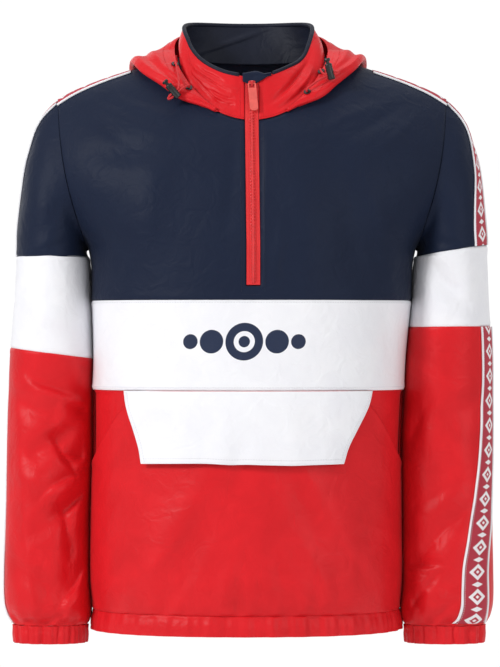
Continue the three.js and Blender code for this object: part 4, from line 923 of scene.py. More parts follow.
def line_folds(rows, angle, down):
    """Folds that run along lines, each steeper on one side and fading out at its first end."""
    total = 0.0
    for a, b, a_end, b_end, bend, above, below, height in rows:
        length = math.hypot(a_end - a, b_end - b)
        c = (a_end - a) / length
        s = (b_end - b) / length
        turn = turned(angle, a)
        along = turn * c + (down - b) * s
        share = np.clip(along / length, 0, 1)
        waver = 0.12 * min(above, below) * np.sin(along / 6.0 + a)
        across = -turn * s + (down - b) * c - bend * 4 * share * (1 - share) + waver
        past = np.clip(-along, 0, None) + np.clip(along - length, 0, None)
        deep = smooth(0.25 + 1.6 * along / length) * bump(past, 5 + 0.15 * length)
        total = total + height * deep * np.exp(-np.abs(across / np.where(across < 0, above, below)) ** 1.5)
    return total


def sleeve_fold(name, angle, down):
    total = 0.0
    for at, drop, slope, spread, width, depth in sleeve_folds[name]:
        turn = turned(angle, at)
        total = total + depth * bump(turn, spread) * bump(down - drop - slope * turn, width)
    total = total * (1 - smooth((down - 395) / 30))
    near = SLEEVE_END - down
    around = np.radians(angle)
    wave = np.sin(around * CUFF_GATHERS + 0.9 * np.sin(around * 3))
    gather = wave * np.exp(-np.clip(near, 0, None) / 18.0)
    lines = line_folds(sleeve_lines[name], angle, down) * smooth(near / 5)
    return total + lines + 1.7 * gather * smooth(near / 4) * (down > 300)


def sleeve_point(name, station, angle):
    """A point of a sleeve's outer surface. angle 0 is the outermost line and 90 is the front."""
    sign = 1 if name == "left" else -1
    station, angle = np.broadcast_arrays(np.asarray(station, float), np.asarray(angle, float))
    c = np.cos(np.radians(angle))
    s = np.sin(np.radians(angle))
    out = (1 + c) / 2
    level = np.sign(s) * np.abs(s) ** 0.92
    turn = np.clip(-station, 0, None)
    near = mix(UNDERARM_REACH, PIVOT_INSET, smooth(turn / ARMHOLE_TURN))
    along = mix(near, fan_reach(turn), out)
    share = smooth((turn - 30) / (ARMHOLE_TURN - 30))
    height = mix(ARMPIT_Z, TIP_Z, out)
    front = SIDE_Y - sheet_depth(-1, armhole_x(height), height, False)
    back = SIDE_Y + sheet_depth(1, armhole_x(height), height, False)
    seam_y = np.where(s >= 0, front, back)
    bow = ARMHOLE_BOW * np.sin(math.pi * (1 - out)) * share**3
    fine = cap_crease(name, angle, turn) * smooth((ARMHOLE_TURN - turn) / 12) * smooth(turn / 12) * out
    fan_y = mix(5 - (fan_depth(turn) + fine) * level, seam_y, share**2)
    fan_x = PIVOT_X + along * np.cos(np.radians(turn)) + bow
    fan_z = PIVOT_Z + along * np.sin(np.radians(turn))
    down = np.clip(station, 0, None)
    z = PIVOT_Z - down
    outer = sign * sleeve_outer(down) + sway(z) / 2
    inner = sign * (torso_half(z) + sleeve_gap(down)) + sway(z)
    fold = sleeve_fold(name, angle % 360, down) * np.where(out < 0.12, out / 0.12, 1) * smooth(down / 12)
    y = sleeve_mid(down) - (sleeve_depth(down) + fold) * level
    wide = (outer - inner) / 2 + np.where(c > 0, sign * fold * c * 0.5, 0)
    x = (outer + inner) / 2 + wide * np.sign(c) * np.abs(c) ** 0.92
    fanned = np.stack([sign * fan_x, fan_y, fan_z], axis=-1)
    return np.where((station < 0)[..., None], fanned, np.stack([x, y, z], axis=-1))


def cap_crease(name, angle, turn):
    """Soft creases of the dark caps: angle, fan turn, direction, length, width, height."""
    shift = 0 if name == "left" else 8
    table = [
        (80 + shift, 20, 30, 40, 6, 2.0),
        (110, 30 - shift / 2, 40, 40, 7, -2.4),
        (60, 45, 20, 40, 7, 2.0),
        (130, 14 + shift / 2, 10, 34, 5, 2.2),
        (95, 52, 50, 34, 7, -2.0),
        (240, 24, -30, 40, 7, 2.4),
        (265, 40, -20, 40, 7, -2.4),
        (220, 14, 10, 40, 6, 2.2),
    ]
    return sum(patch(turned(angle, at), turn - place, *fold) for at, place, *fold in table)


# Where the tape's middle runs round each sleeve: station, left, right
tape_line = [
    (-80, 0, 0),
    (-68, 4, -3),
    (-60, 14, -5),
    (-45, 29, -9.3),
    (-30, 36, -14),
    (-15, 38, -20),
    (40, 32, -26),
    (86, 28, -27.5),
    (150, 26, -28),
    (220, 29.5, -28),
    (274, 37, -27),
    (329, 49, -22),
    (370, 56, -16),
    (432, 53, -8),
]
tape_middle = {"left": curve(tape_line, 1), "right": curve(tape_line, 2)}
# Seams of each sleeve: station of the first, distance down and slant of the second
sleeve_seams = {"right": (0.0, 113.5, 6.5), "left": (-9.0, 82.5, 0.5)}
CUFF_GATHERS = 16
TUBE_COLUMNS = 130


def second_seam(name, angle):
    _, down, slant = sleeve_seams[name]
    return down - slant * np.cos(np.radians(angle))


def cap_stations(name):
    first = sleeve_seams[name][0]
    start = -ARMHOLE_TURN + np.array([0, 0.25, 0.6, 1.0])
    middle = np.linspace(-ARMHOLE_TURN + 2.2, first - 2.4, 52)
    return np.concatenate([start, middle, first - np.array([1.7, 0.9, 0.4, 0.0])])


def tube(name, stations_at):
    angle = np.arange(TUBE_COLUMNS) / TUBE_COLUMNS * 360.0
    station = np.array([stations_at(a) for a in angle])
    return sleeve_point(name, station, angle[:, None])


def tube_normals(p):
    n = normals_of(p, closed=True)
    away = p - p.mean(axis=0, keepdims=True)
    return n if (n * away).sum() > 0 else -n


def tube_uv(p):
    return np.stack([lengths(p, 0), -lengths(p, 1)], axis=-1)


def sleeve_piece(name, part, stations_at, mat, slot, dips=(True, True)):
    p = tube(name, stations_at)
    n = tube_normals(p)
    cloth_piece(f"sleeve_{part}_{name}", add_seams(p, n, dips), n, mat, slot, tube_uv(p), closed=True)


def sleeves():
    for name in ("right", "left"):
        first, second, _ = sleeve_seams[name]
        cap = cap_stations(name)
        sleeve_piece(name, "cap", lambda a: cap, navy_cloth, "navy_cloth", dips=(False, True))
        start = max(first, 0.0)
        lead = np.linspace(first, 0, 6)[:-1] if first < 0 else np.array([])
        shares = spaced(second - start, 2.8)

        def band_at(a):
            return np.concatenate([lead, mix(start, float(second_seam(name, a)), shares)])

        sleeve_piece(name, "band", band_at, white_cloth, "white_cloth")
        down = spaced(SLEEVE_END - second, 2.3)

        def lower_at(a):
            return mix(float(second_seam(name, a)), SLEEVE_END, down)

        sleeve_piece(name, "lower", lower_at, red_cloth, "red_cloth")
        cuff(name)


def cuff(name):
    columns = CUFF_GATHERS * 22
    angle = (np.arange(columns) / columns * 360.0)[:, None]
    station = SLEEVE_END + CUFF_HEIGHT * spaced(CUFF_HEIGHT, 1.6, (0.6, 1.4, 2.4))
    p = sleeve_point(name, station[None, :], angle)
    n = tube_normals(p)
    turn = np.radians(angle)
    down = (station - SLEEVE_END) / CUFF_HEIGHT
    waver = 0.25 * np.sin(3 * turn) + 0.12 * np.sin(5 * down + 2 * turn)
    lobes = 2 * np.abs(np.cos(CUFF_GATHERS / 2 * turn + waver)) ** 0.6 - 1
    main = lobes * (1 + 0.25 * np.sin(2 * turn))
    fine = 0.35 * np.cos(39 * turn + 0.8 * np.sin(4 * turn))
    channel = 0.3 * bump((down - 0.5) * CUFF_HEIGHT, 5)
    push = 1.7 * main + fine - 0.5 + channel + 0.7 * np.sin(math.pi * down)
    p = p + n * push[..., None]
    cloth_piece(f"cuff_{name}", p, n, red_cloth, "red_cloth", tube_uv(p), thickness=1.2, closed=True)


# Sleeve tape with its piping
TAPE_LIFT = 1.3
PIPING_LIFT = 1.2
PIPING_HEIGHT = 1.3


def raised(points_at, across, out):
    """A strip lifted off the cloth, with its normals and the place across and along it."""
    p, away = points_at(across)
    n = normals_of(p)
    n = n if (n * away).sum() > 0 else -n
    u = np.broadcast_to(across[:, None] * 0.001, p.shape[:2])
    return p + n * np.asarray(out)[..., None], n, np.stack([u, -lengths(p, 1)], axis=-1)


def tape_run(part, name, points_at, front):
    """A run of tape with its piping. front is the sign of distances to its front edge."""
    p, n, uv = raised(points_at, np.linspace(-TAPE_HALF, TAPE_HALF, 15), TAPE_LIFT)
    cloth_piece(f"tape_{part}_{name}", p, n, tape_cloth, "tape_cloth", uv, thickness=0.9)
    for edge, side in (("back", -front), ("front", front)):
        across = np.linspace(side * TAPE_HALF, side * (TAPE_HALF + PIPING), 7)
        t = (across - across[0]) / (across[-1] - across[0])
        round_top = PIPING_HEIGHT * np.sqrt(np.clip(1 - (2 * t - 1) ** 2, 0, 1))
        p, n, uv = raised(points_at, across, (PIPING_LIFT + round_top)[:, None])
        piece = f"piping_{part}_{edge}_{name}"
        cloth_piece(piece, p, n, piping_cloth, "piping_cloth", uv, thickness=1.0)


def sleeve_strip(name, stations, across):
    """Points on a sleeve at distances across from the tape's middle, and their way from its axis."""
    station = np.broadcast_to(stations, (len(across), len(stations)))
    fan = fan_depth(np.clip(-station, 0, None))
    depth = np.where(station < 0, fan, sleeve_depth(np.clip(station, 0, None)))
    p = sleeve_point(name, station, tape_middle[name](station) + np.degrees(across[:, None] / depth))
    return p, p - (sleeve_point(name, stations, 0.0) + sleeve_point(name, stations, 180.0)) / 2


def shoulder_strip(sign, across):
    """Points over the shoulder seam at distances from it, the front below 0, and the way up."""
    x = sign * np.linspace(0.62, 0.9975, 46) * TIP_X
    z = ridge(np.abs(x))[:, None] - (np.linspace(0, 1, 60) ** 2 * 40)[None, :]
    lines = []
    for d in across:
        grid = sheet_point(-1 if d < 0 else 1, np.broadcast_to(x[:, None], z.shape), z, creases=False)
        lines.append([place_at(abs(d), run, line) for run, line in zip(reach(grid, 1), grid)])
    return np.array(lines), np.array([0, 0, 1])


def tape_runs(name):
    first, second, _ = sleeve_seams[name]
    cap = np.linspace(-ARMHOLE_TURN + 0.3, -0.1 if first == 0 else first - 0.2, 60)
    top = float(second_seam(name, float(tape_middle[name](second)))) + 0.4
    bottom = SLEEVE_END - 3.5
    return {"cap": cap, "lower": np.linspace(top, bottom, int((bottom - top) / 2.6))}


def tapes():
    for name, sign in (("right", -1), ("left", 1)):
        for part, stations in tape_runs(name).items():
            tape_run(part, name, partial(sleeve_strip, name, stations), 1)
        tape_run("shoulder", name, partial(shoulder_strip, sign), -1)


def tape_material():
    """Woven ribbon: a rib ground, stitch dots along both edges, and a row of plain lozenges."""
    mat, tree, _ = material("tape_ribbon", (0.42, 0.03, 0.06), 0.7)
    calc = partial(math_node, tree)
    x, y = cloth_axes(tree)
    across = calc("ABSOLUTE", x)
    half_pitch = 0.0145
    along = calc("PINGPONG", y, half_pitch)
    big = calc("ADD", calc("DIVIDE", across, 0.0125), calc("DIVIDE", along, 0.0098))
    ring = calc("MULTIPLY", calc("LESS_THAN", big, 1.0), calc("GREATER_THAN", big, 0.52))
    dot = calc("LESS_THAN", big, 0.22)
    far = calc("SUBTRACT", half_pitch, along)
    small = calc("ADD", calc("DIVIDE", across, 0.0085), calc("DIVIDE", far, 0.0032))
    motif = calc("MAXIMUM", calc("MAXIMUM", ring, dot), calc("LESS_THAN", small, 1.0))
    edge = calc("LESS_THAN", calc("ABSOLUTE", calc("SUBTRACT", across, 0.0168)), 0.0005)
    stitch = calc("GREATER_THAN", calc("SINE", calc("MULTIPLY", y, 2300.0)), 0.1)
    white = calc("MAXIMUM", motif, calc("MULTIPLY", calc("MULTIPLY", edge, stitch), 0.7))
    blend(tree, white, (0.43, 0.022, 0.045), (0.84, 0.80, 0.82))
    rib = calc("SINE", calc("MULTIPLY", y, 7000.0))
    thread = calc("SINE", calc("MULTIPLY", x, 9000.0))
    relief(tree, calc("ADD", calc("MULTIPLY", rib, thread), calc("MULTIPLY", white, 1.5)), 0.25, 0.0004)
    return mat


tape_cloth = tape_material()
sleeves()
tapes()

# Collar, by the angle round the neck from the middle of the front: angle, top height, bulge
collar_sections = [
    (0, -24, 0),
    (7, -22, 0),
    (21, -17.5, 1),
    (36, -9, 2),
    (48, 0, 2.5),
    (60, 12, 2.5),
    (73, 28, 3),
    (90, 39, 3),
    (110, 44.5, 2),
    (135, 47, 0),
    (180, 47.5, 0),
]
collar_height = curve(collar_sections, 1)
collar_bulge = curve(collar_sections, 2)
TOP_HALF, TOP_SHIFT, TOP_Y, TOP_DEPTH = 77.0, -4.5, -5.0, 66.0
LOW_SIDE = 7.0


def neck_point(angle):
    angle = np.asarray(angle, float)
    x = NECK_HALF * np.sin(np.radians(angle))
    front = sheet_point(-1, x, neck_z(-1, x), creases=False)
    back = sheet_point(1, x, neck_z(1, x), creases=False)
    return np.where((np.cos(np.radians(angle)) >= 0)[..., None], front, back)


def collar_out(angle):
    a = np.radians(np.asarray(angle, float))
    return unit(np.stack([np.sin(a) / TOP_HALF, -np.cos(a) / TOP_DEPTH, 0 * a], axis=-1))


def collar_top(angle):
    a = np.radians(angle)
    from_front = np.abs(turned(np.asarray(angle, float), 0))
    sunk = np.where(np.sin(a) > 0, LOW_SIDE * bump(from_front - 60, 22), 0)
    x = mix(NECK_HALF * np.sin(a), TOP_HALF * np.sin(a) + TOP_SHIFT, smooth(from_front / 45))
    return np.stack([x, TOP_Y - TOP_DEPTH * np.cos(a), collar_height(from_front) - sunk], axis=-1)


def collar_point(angle, share, inset=0.0):
    angle, share = np.broadcast_arrays(np.asarray(angle, float), np.asarray(share, float))
    base = neck_point(angle)
    base[..., 2] += 2.2
    lean = collar_bulge(np.abs(turned(angle, 0))) * np.sin(math.pi * share) - inset
    return mix(base, collar_top(angle), share[..., None]) + collar_out(angle) * lean[..., None]


COLLAR_START = math.degrees(math.asin((ZIP_TOP_X + ZIP_SLIT) / NECK_HALF))
COLLAR_STOP = 360 - math.degrees(math.asin((ZIP_SLIT - ZIP_TOP_X) / NECK_HALF))
# Collar folds as lines: angle and share of the height below the rim at both ends, bend, width above,
# width below, height
collar_lines = [
    (338, 0.42, 309, 0.40, 2.5, 5, 1.6, -4.2),
    (337, 0.50, 312, 0.52, 2.0, 1.6, 5, 1.8),
    (341, 0.28, 320, 0.24, 2.0, 4, 1.8, -2.6),
    (346, 0.56, 330, 0.60, -1.5, 4, 1.6, -3.2),
    (347, 0.70, 334, 0.74, -1.5, 4, 1.6, -3.0),
    (350, 0.44, 338, 0.34, 1.0, 2.5, 4, 1.8),
    (340, 0.92, 318, 0.66, 1.5, 5, 2.0, -3.2),
    (330, 0.94, 313, 0.72, 1.0, 4, 2.0, -2.6),
    (304, 0.70, 296, 0.30, 0, 5, 3, -2.6),
    (14, 0.72, 50, 0.34, -1.0, 6, 2.4, -4.6),
    (26, 0.76, 52, 0.52, 0, 2, 5, 2.0),
    (16, 0.50, 40, 0.22, 0, 7, 6, 1.8),
    (20, 0.92, 44, 0.78, 0, 4, 2, -2.6),
]


PLACKET_SEAMS = (349.6, 8.4)
COLLAR_HEIGHT = 46.0


def collar_folds(angle, share):
    total = 0.0
    for a, low, a_end, high, *rest in collar_lines:
        rows = [(a, low * COLLAR_HEIGHT, a_end, high * COLLAR_HEIGHT, *rest)]
        total = total + line_folds(rows, angle, (1 - share) * COLLAR_HEIGHT)
    placket = sum(bump(turned(angle, at), 0.9) for at in PLACKET_SEAMS)
    return (total - 0.7 * placket) * np.clip(share * 9, 0, 1) * np.clip((1 - share) * 9, 0, 1)


# Creases of the lining: angle, share of the height, direction, length, width, height
lining_creases = [(190, 0.62, -28, 60, 5, -2.2), (176, 0.5, -24, 60, 7, 1.8), (140, 0.6, 20, 50, 6, 1.2)]


def lining_relief(angle, share):
    total = 0.0
    for at, up, *fold in lining_creases:
        total = total + patch(turned(angle, at) * 1.35, (share - up) * 62, *fold)
    return total * np.sin(math.pi * np.clip(share, 0, 1)) ** 0.5


def collar_piece(name, low, inset, thickness, mat, slot):
    angle = np.linspace(COLLAR_START, COLLAR_STOP, 270)[:, None]
    share = np.linspace(low, 1, 38)[None, :]
    p = collar_point(angle, share, inset)
    n = np.broadcast_to(collar_out(angle), p.shape)
    push = collar_folds(angle, np.clip(share, 0, 1))
    if inset:
        push = np.minimum(push, 0.0) + np.minimum(lining_relief(angle, share), 0.0)
    cloth_piece(name, p + n * push[..., None], n, mat, slot, thickness=thickness)


def collar_binding():
    angles = np.linspace(COLLAR_START, COLLAR_STOP, 170)
    angles = angles[(angles > 17.5) & (angles < 350.5)]
    phi = np.linspace(-0.95, math.pi + 0.95, 16)
    top = collar_point(angles, np.ones_like(angles))
    p = top[:, None, :] + collar_out(angles)[:, None, :] * (2.5 * np.cos(phi) - 1.4)[None, :, None]
    p[..., 2] += 0.3 + 2.8 * np.sin(phi)[None, :]
    n = normals_of(p)
    n = n if n[:, 8, 2].sum() > 0 else -n
    cloth_piece("collar_binding", p, n, lining_cloth, "navy_cloth", thickness=0.8)


collar_piece("collar", -0.03, 0.0, 1.2, red_cloth, "red_cloth")
collar_piece("collar_lining", -0.09, 1.9, 0.9, lining_cloth, "navy_cloth")
collar_binding()

# Cord locks and drawcords. The low end of each lock, its two axes, and the eyelets with their facings
fittings = {
    "right": {
        "low": (-84.8, -81.461, -47.2),
        "across": (0.752, 0, 0.659),
        "up": (-0.659, 0, 0.752),
        "rings": [
            ((-89.997, -42.267, -6.316), (0.127, -0.592, 0.796)),
            ((-73.379, -70.718, -35.585), (0.14, -0.716, 0.684)),
        ],
    },
    "left": {
        "low": (92.5, -69.8, -26),
        "across": (-0.971, 0, -0.24),
        "up": (-0.24, 0, 0.971),
        "rings": [
            ((80.69, -50.788, -15.423), (-0.299, -0.594, 0.747)),
            ((64.018, -73.975, -40.802), (-0.235, -0.641, 0.731)),
        ],
    },
}
CORD_RADIUS = 1.3

# Hood: angle, fold x, fold z, rest, half fold, swelling, roll, gap, edge height
hood_sections = [
    (27, 42, -65.5, 1.8, 1.8, 0.3, 0.3, 4.2, -62),
    (33, 53, -60.5, 1.8, 2.8, 0.8, 0.8, 4.6, -56.5),
    (50, 81, -50, 2, 4.5, 3, 5, 5, -36),
    (65, 101, -35, 2.8, 5, 5, 9, 4.6, -17),
    (78, 122, -21, 4, 5, 5, 11, 4.6, -2),
    (90, 137, -8.6, 4.4, 5, 6, 12, 5, 13),
    (105, 136, -34, 6, 7, 10, 16, 6.5, 27),
    (120, 128, -74, 6.5, 9, 14, 24, 9, 34),
    (135, 110, -115, 6.5, 11, 18, 34, 12, 38),
    (150, 82, -150, 6.5, 13, 21, 42, 14, 40),
    (165, 44, -174, 6.5, 14, 22, 48, 15, 41),
    (180, 0, -182, 6.5, 14, 22, 50, 15, 41),
]
hood_columns = [curve(hood_sections, i) for i in range(1, 9)]
hood_x, hood_z, hood_rest, hood_half, hood_puff, hood_roll, hood_gap, hood_edge = hood_columns
HOOD_NARROW = 0.93


def sheet_normal(side, x, z):
    e = 0.5
    x = np.asarray(x, float)
    z = np.asarray(z, float)
    a = sheet_point(side, x + e, z, False) - sheet_point(side, x - e, z, False)
    b = sheet_point(side, x, z + e, False) - sheet_point(side, x, z - e, False)
    slope = (ridge(np.abs(x) + 1) - ridge(np.abs(x) - 1)) / 2
    crest = np.stack([-np.sign(x) * slope, 0 * x, 1 + 0 * x], axis=-1)
    n = unit(np.cross(a, b) * (1 if side < 0 else -1))
    return np.where((ridge(np.abs(x)) - z < 0.6)[..., None], unit(crest), n)


def hood_frame(sign, angle):
    """Where the hood lies at an angle from the front, on the wearer's left for a sign of 1."""
    side = -1 if angle < 90 else 1
    sine = math.sin(math.radians(angle))
    neck_x = NECK_HALF * sine
    fold_x = float(hood_x(angle)) * (mix(1, HOOD_NARROW, sine) if sign > 0 else 1)
    neck_drop = float(ridge(neck_x)) - float(neck_z(side, neck_x))
    fold_drop = float(ridge(hood_x(angle))) - float(hood_z(angle))
    rest = float(hood_rest(angle))
    half = float(hood_half(angle))

    def on_body(share, out):
        share = np.asarray(share, float)
        x = sign * mix(neck_x, fold_x, share)
        z = ridge(np.abs(x)) - np.maximum(0.05, mix(neck_drop, fold_drop, share))
        off = out * mix(0.45, 1, smooth(share / 0.25))
        return sheet_point(side, x, z, False) + sheet_normal(side, x, z) * np.asarray(off)[..., None]

    lowest = on_body(1, 0)
    away = unit(lowest - on_body(0.8, 0))
    normal = on_body(1, 1) - lowest
    start = lowest + away * half * 0.9 + normal * (rest + half)
    around = angle if sign > 0 else 360 - angle
    base = neck_point(around)[2]
    share = min(1, max(0, (float(hood_edge(angle)) - base) / (collar_top(around)[2] - base)))
    out = collar_out(around)
    end = collar_point(around, share) + out * float(hood_gap(angle))
    first = start + normal * (half + float(hood_puff(angle)))
    second = end + out * float(hood_roll(angle))

    def turning(a, b):
        return lowest + away * half * a + normal * (rest + half * b)

    return on_body, rest, turning, (start, first, second, end)


def hood_outer(points, t):
    start, first, second, end = points
    t = t[:, None]
    return start * (1 - t) ** 3 + first * 3 * t * (1 - t) ** 2 + second * 3 * t * t * (1 - t) + end * t**3


# Creases of the hood: angle (below 0 on the wearer's right), place up the outer layer, direction,
# length, width, height
hood_creases = [
    (-70, 0.4, 20, 26, 5, 2.6),
    (-62, 0.55, 34, 24, 5, -2.6),
    (-80, 0.62, 14, 26, 5, 2.4),
    (-50, 0.5, 40, 22, 4, 2.0),
    (-92, 0.45, 8, 26, 6, -2.8),
    (-38, 0.5, 50, 20, 3.5, -1.4),
    (68, 0.45, -24, 26, 5, 2.6),
    (58, 0.55, -36, 24, 5, -2.4),
    (80, 0.6, -12, 26, 5, 2.4),
    (92, 0.4, -10, 26, 6, -2.6),
    (46, 0.5, -44, 20, 4, 1.8),
    (120, 0.5, 70, 40, 9, 4.0),
    (140, 0.4, 80, 50, 10, -4.5),
    (160, 0.5, 86, 60, 10, 4.0),
    (-120, 0.5, -70, 40, 9, 4.0),
    (-142, 0.45, -80, 50, 10, -4.5),
    (-164, 0.5, -86, 60, 10, 3.5),
    (178, 0.55, 90, 60, 9, -3.5),
]


def hood():
    half = np.concatenate([np.linspace(27, 60, 28), np.linspace(61.2, 100, 36), np.linspace(102, 178, 40)])
    turns = [(-1, a) for a in half] + [(-1, 180.0)] + [(1, a) for a in half[::-1]]
    inner = np.linspace(0.05, 0.9, 20)
    outer = np.concatenate([np.linspace(0, 0.9, 34), np.linspace(0.92, 1, 6)])
    lines = []
    for sign, angle in turns:
        on_body, rest, turning, points = hood_frame(sign, angle)
        turn_rows = [turning(0.25, 0.05), turning(0.55, 0.3)]
        lines.append(np.concatenate([on_body(inner, rest), turn_rows, hood_outer(points, outer)]))
    p = np.array(lines)
    signed = np.array([sign * angle for sign, angle in turns])[:, None]
    place = np.concatenate([np.full(22, -1.0), outer])[None, :]
    n = -normals_of(p)
    tall = np.where(np.abs(signed) > 100, 160, 60)
    push = 0.0
    for at, up, *fold in hood_creases:
        push = push + patch(turned(signed, at) * 1.3, (place - up) * tall, *fold)
    push = push * smooth(place / 0.12) * smooth((1.02 - place) / 0.15)
    keep = np.ones((p.shape[0] - 1, p.shape[1] - 1), bool)
    middle = (p[1:, 1:] + p[:-1, :-1]) / 2
    for found in fittings.values():
        for at, _ in found["rings"]:
            push = push * (1 - bump(np.linalg.norm(p - np.array(at), axis=-1), 12))
            keep &= np.linalg.norm(middle - np.array(at), axis=-1) > 2.6
        lock = np.array(found["low"]) + np.array(found["up"]) * 10
        push = np.where(push > 0, push * (1 - bump(np.linalg.norm(p - lock, axis=-1), 16)), push)
    hem = -0.5 * bump((place - 0.86) * 60, 1.3) * (np.abs(signed) > 45)
    p = p + n * (push + hem)[..., None]
    cloth_piece("hood", p, n, red_cloth, "red_cloth", thickness=1.2, keep=keep)


hood()

# Zip tape, its teeth, slider and pull
zip_red = shell_cloth("zip_ribbon", (0.80, 0.040, 0.042), (0.72, 0.032, 0.036), 0.6, weave=0.5, crinkle=0.08)


def zip_line(x, out, count=190):
    """Points down the zip from the collar's top to the end of the slit, at a distance from its middle."""
    collar_rows = np.linspace(0.97, 0.0, 34)
    on_collar = collar_point(0.0, collar_rows)
    z = np.linspace(NECK_FRONT, ZIP_END + 1, count)
    on_yoke = sheet_point(-1, 0 * z, z, False)
    y = np.concatenate([on_collar[:, 1], on_yoke[1:, 1]])
    z = np.concatenate([on_collar[:, 2], on_yoke[1:, 2]])
    middle = np.where(z > NECK_FRONT + 2, ZIP_TOP_X, zip_x(z)) + sway(z)
    return np.stack([middle + x, y - out, z], axis=-1)


def zip_tape():
    across = np.linspace(-ZIP_HALF, ZIP_HALF, 25)
    rib = 0.18 * np.cos(across * math.pi / 1.3) * (np.abs(across) > 3.2) + 0.25 * (np.abs(across) < 3.0)
    p = np.array([zip_line(x, out) for x, out in zip(across, rib)])
    n = np.broadcast_to(np.array([0.0, -1.0, 0.0]), p.shape)
    cloth_piece("zip_tape", p, n, zip_red, "zip_red", thickness=1.1)


TOOTH_PITCH = 3.9
tooth_outline = [
    (2.7, -0.85),
    (2.7, 0.85),
    (0.9, 0.7),
    (-0.1, 1.25),
    (-1.2, 0.95),
    (-1.5, 0.0),
    (-1.2, -0.95),
    (-0.1, -1.25),
    (0.9, -0.7),
]
# Rise above the tape and size of the outline there
tooth_levels = [(0.0, 1.0), (1.05, 1.0), (1.45, 0.9), (1.6, 0.72)]


def ring_faces(rings, sides):
    """Faces of a row of rings of points, closed at both ends."""
    faces = []
    for k in range(rings - 1):
        for i in range(sides):
            j = (i + 1) % sides
            faces.append([k * sides + i, k * sides + j, (k + 1) * sides + j, (k + 1) * sides + i])
    first = list(range(sides))
    return faces + [first[::-1], [(rings - 1) * sides + i for i in first]]


def zip_chain():
    line = zip_line(0.0, 0.3, 400)
    line = line[line[:, 2] < -32.5]
    run = reach(line, 0)
    verts, faces = [], []
    step = TOOTH_PITCH / 2
    for k in range(int(run[-1] / step) - 1):
        at = (k + 0.6) * step
        centre = place_at(at, run, line)
        down = unit(place_at(at + 1, run, line) - centre)
        face = np.cross(np.array([1.0, 0, 0]), -down)
        side = 1 if k % 2 else -1
        start = len(verts)
        for rise, size in tooth_levels:
            for x, z in tooth_outline:
                across = np.array([side * x * size + (1 - size) * side * 0.6, 0, 0])
                verts.append(centre + across - down * z * size + face * rise)
        tooth = ring_faces(len(tooth_levels), len(tooth_outline))
        faces += [[start + i for i in corners][::side] for corners in tooth]
    obj = make("zip_teeth", verts, faces, np.zeros((len(verts), 2)), smooth_faces=False)
    finish_piece(obj, hard_plastic, "zip_chain")


def hard_material(name, colour, roughness, metallic=0.0, scale=900.0, depth=0.12):
    """Moulded or coated hard part: a fine grain and a little wear in colour and roughness."""
    mat, tree, shader = material(name, colour, roughness, Metallic=metallic)
    place = object_place(tree)
    wear = noise(tree, place, Scale=160, Detail=3)
    span = {"To Min": roughness - 0.08, "To Max": roughness + 0.1}
    tone = node(tree, "ShaderNodeMapRange", span)
    tree.links.new(wear, tone.inputs["Value"])
    tree.links.new(tone.outputs["Result"], shader.inputs["Roughness"])
    paint(tree, wear, (0.35, tuple(c * 0.85 for c in colour)), (0.65, colour))
    relief(tree, noise(tree, place, Scale=scale), depth, 0.0003)
    return mat


def dress(node_name, mat):
    """Gives a CAD piece that stays in view a finished material."""
    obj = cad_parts[node_name]
    if not obj.material_slots:
        obj.data.materials.append(mat)
    for spot in obj.material_slots:
        spot.material = mat


hard_plastic = hard_material("zip_plastic", (0.74, 0.035, 0.038), 0.38)
slider_paint = hard_material("slider_paint", (0.62, 0.02, 0.026), 0.32)
pull_rubber = hard_material("pull_rubber", (0.78, 0.11, 0.09), 0.5, scale=500, depth=0.5)
gunmetal = hard_material("gunmetal", (0.035, 0.034, 0.036), 0.3, metallic=0.85)
black_lock = hard_material("black_lock", (0.012, 0.012, 0.013), 0.28)
zip_tape()
zip_chain()
dress("zip_slider", slider_paint)
dress("zip_pull", pull_rubber)
for level in ("upper", "lower"):
    for name in ("right", "left"):
        dress(f"eyelet_{level}_{name}", gunmetal)


# Chin guard, folded over the collar's front edge: share up the collar, out from it, rise
guard_path = [
    (0.875, 1.9, 0.0),
    (0.95, 2.1, 0.2),
    (1.0, 1.9, 0.5),
    (1.0, 1.2, 4.0),
    (1.0, -1.5, 6.0),
    (1.0, -4.2, 4.5),
    (1.0, -5.2, 0.5),
    (0.93, -5.3, 0.2),
    (0.86, -5.2, 0.0),
]
GUARD_LEFT, GUARD_RIGHT = -10.5, 24.0


def chin_guard():
    rows = [(i, *row) for i, row in enumerate(guard_path)]
    t = np.linspace(0, len(rows) - 1, 46)
    fine = np.array([curve(rows, k)(t) for k in (1, 2, 3)]).T
    lines = []
    for s in np.linspace(0, 1, 46):
        angle = math.degrees(math.asin(mix(GUARD_LEFT, GUARD_RIGHT, s) / NECK_HALF))
        dome = 0.4 + 0.75 * bump(s - 0.36, 0.26) - 0.12 * bump(s - 0.72, 0.08)
        taper = smooth((s - 0.45) / 0.55)
        line = []
        for share, out, up in fine:
            lowered = mix(share, 1.0, 0.8 * taper) if share < 1 and out > 0 else share
            front = lowered - (0.06 * bump(s - 0.27, 0.16) if out > 0 and share < 0.99 else 0)
            off = out + 0.5 * math.sin(9 * s + 2 * share) * (share > 0.9)
            p = collar_point(angle, front) + collar_out(angle) * off
            p[2] += up * dome + (0.8 if up > 0.6 else 0) - 1.0 * taper * (up > 2)
            line.append(p)
        lines.append(line)
    p = np.array(lines)
    n = normals_of(p)
    n = -n if n[20, 5, 1] > 0 else n
    cloth_piece("chin_guard", p, n, navy_cloth, "navy_cloth", thickness=1.1)


chin_guard()


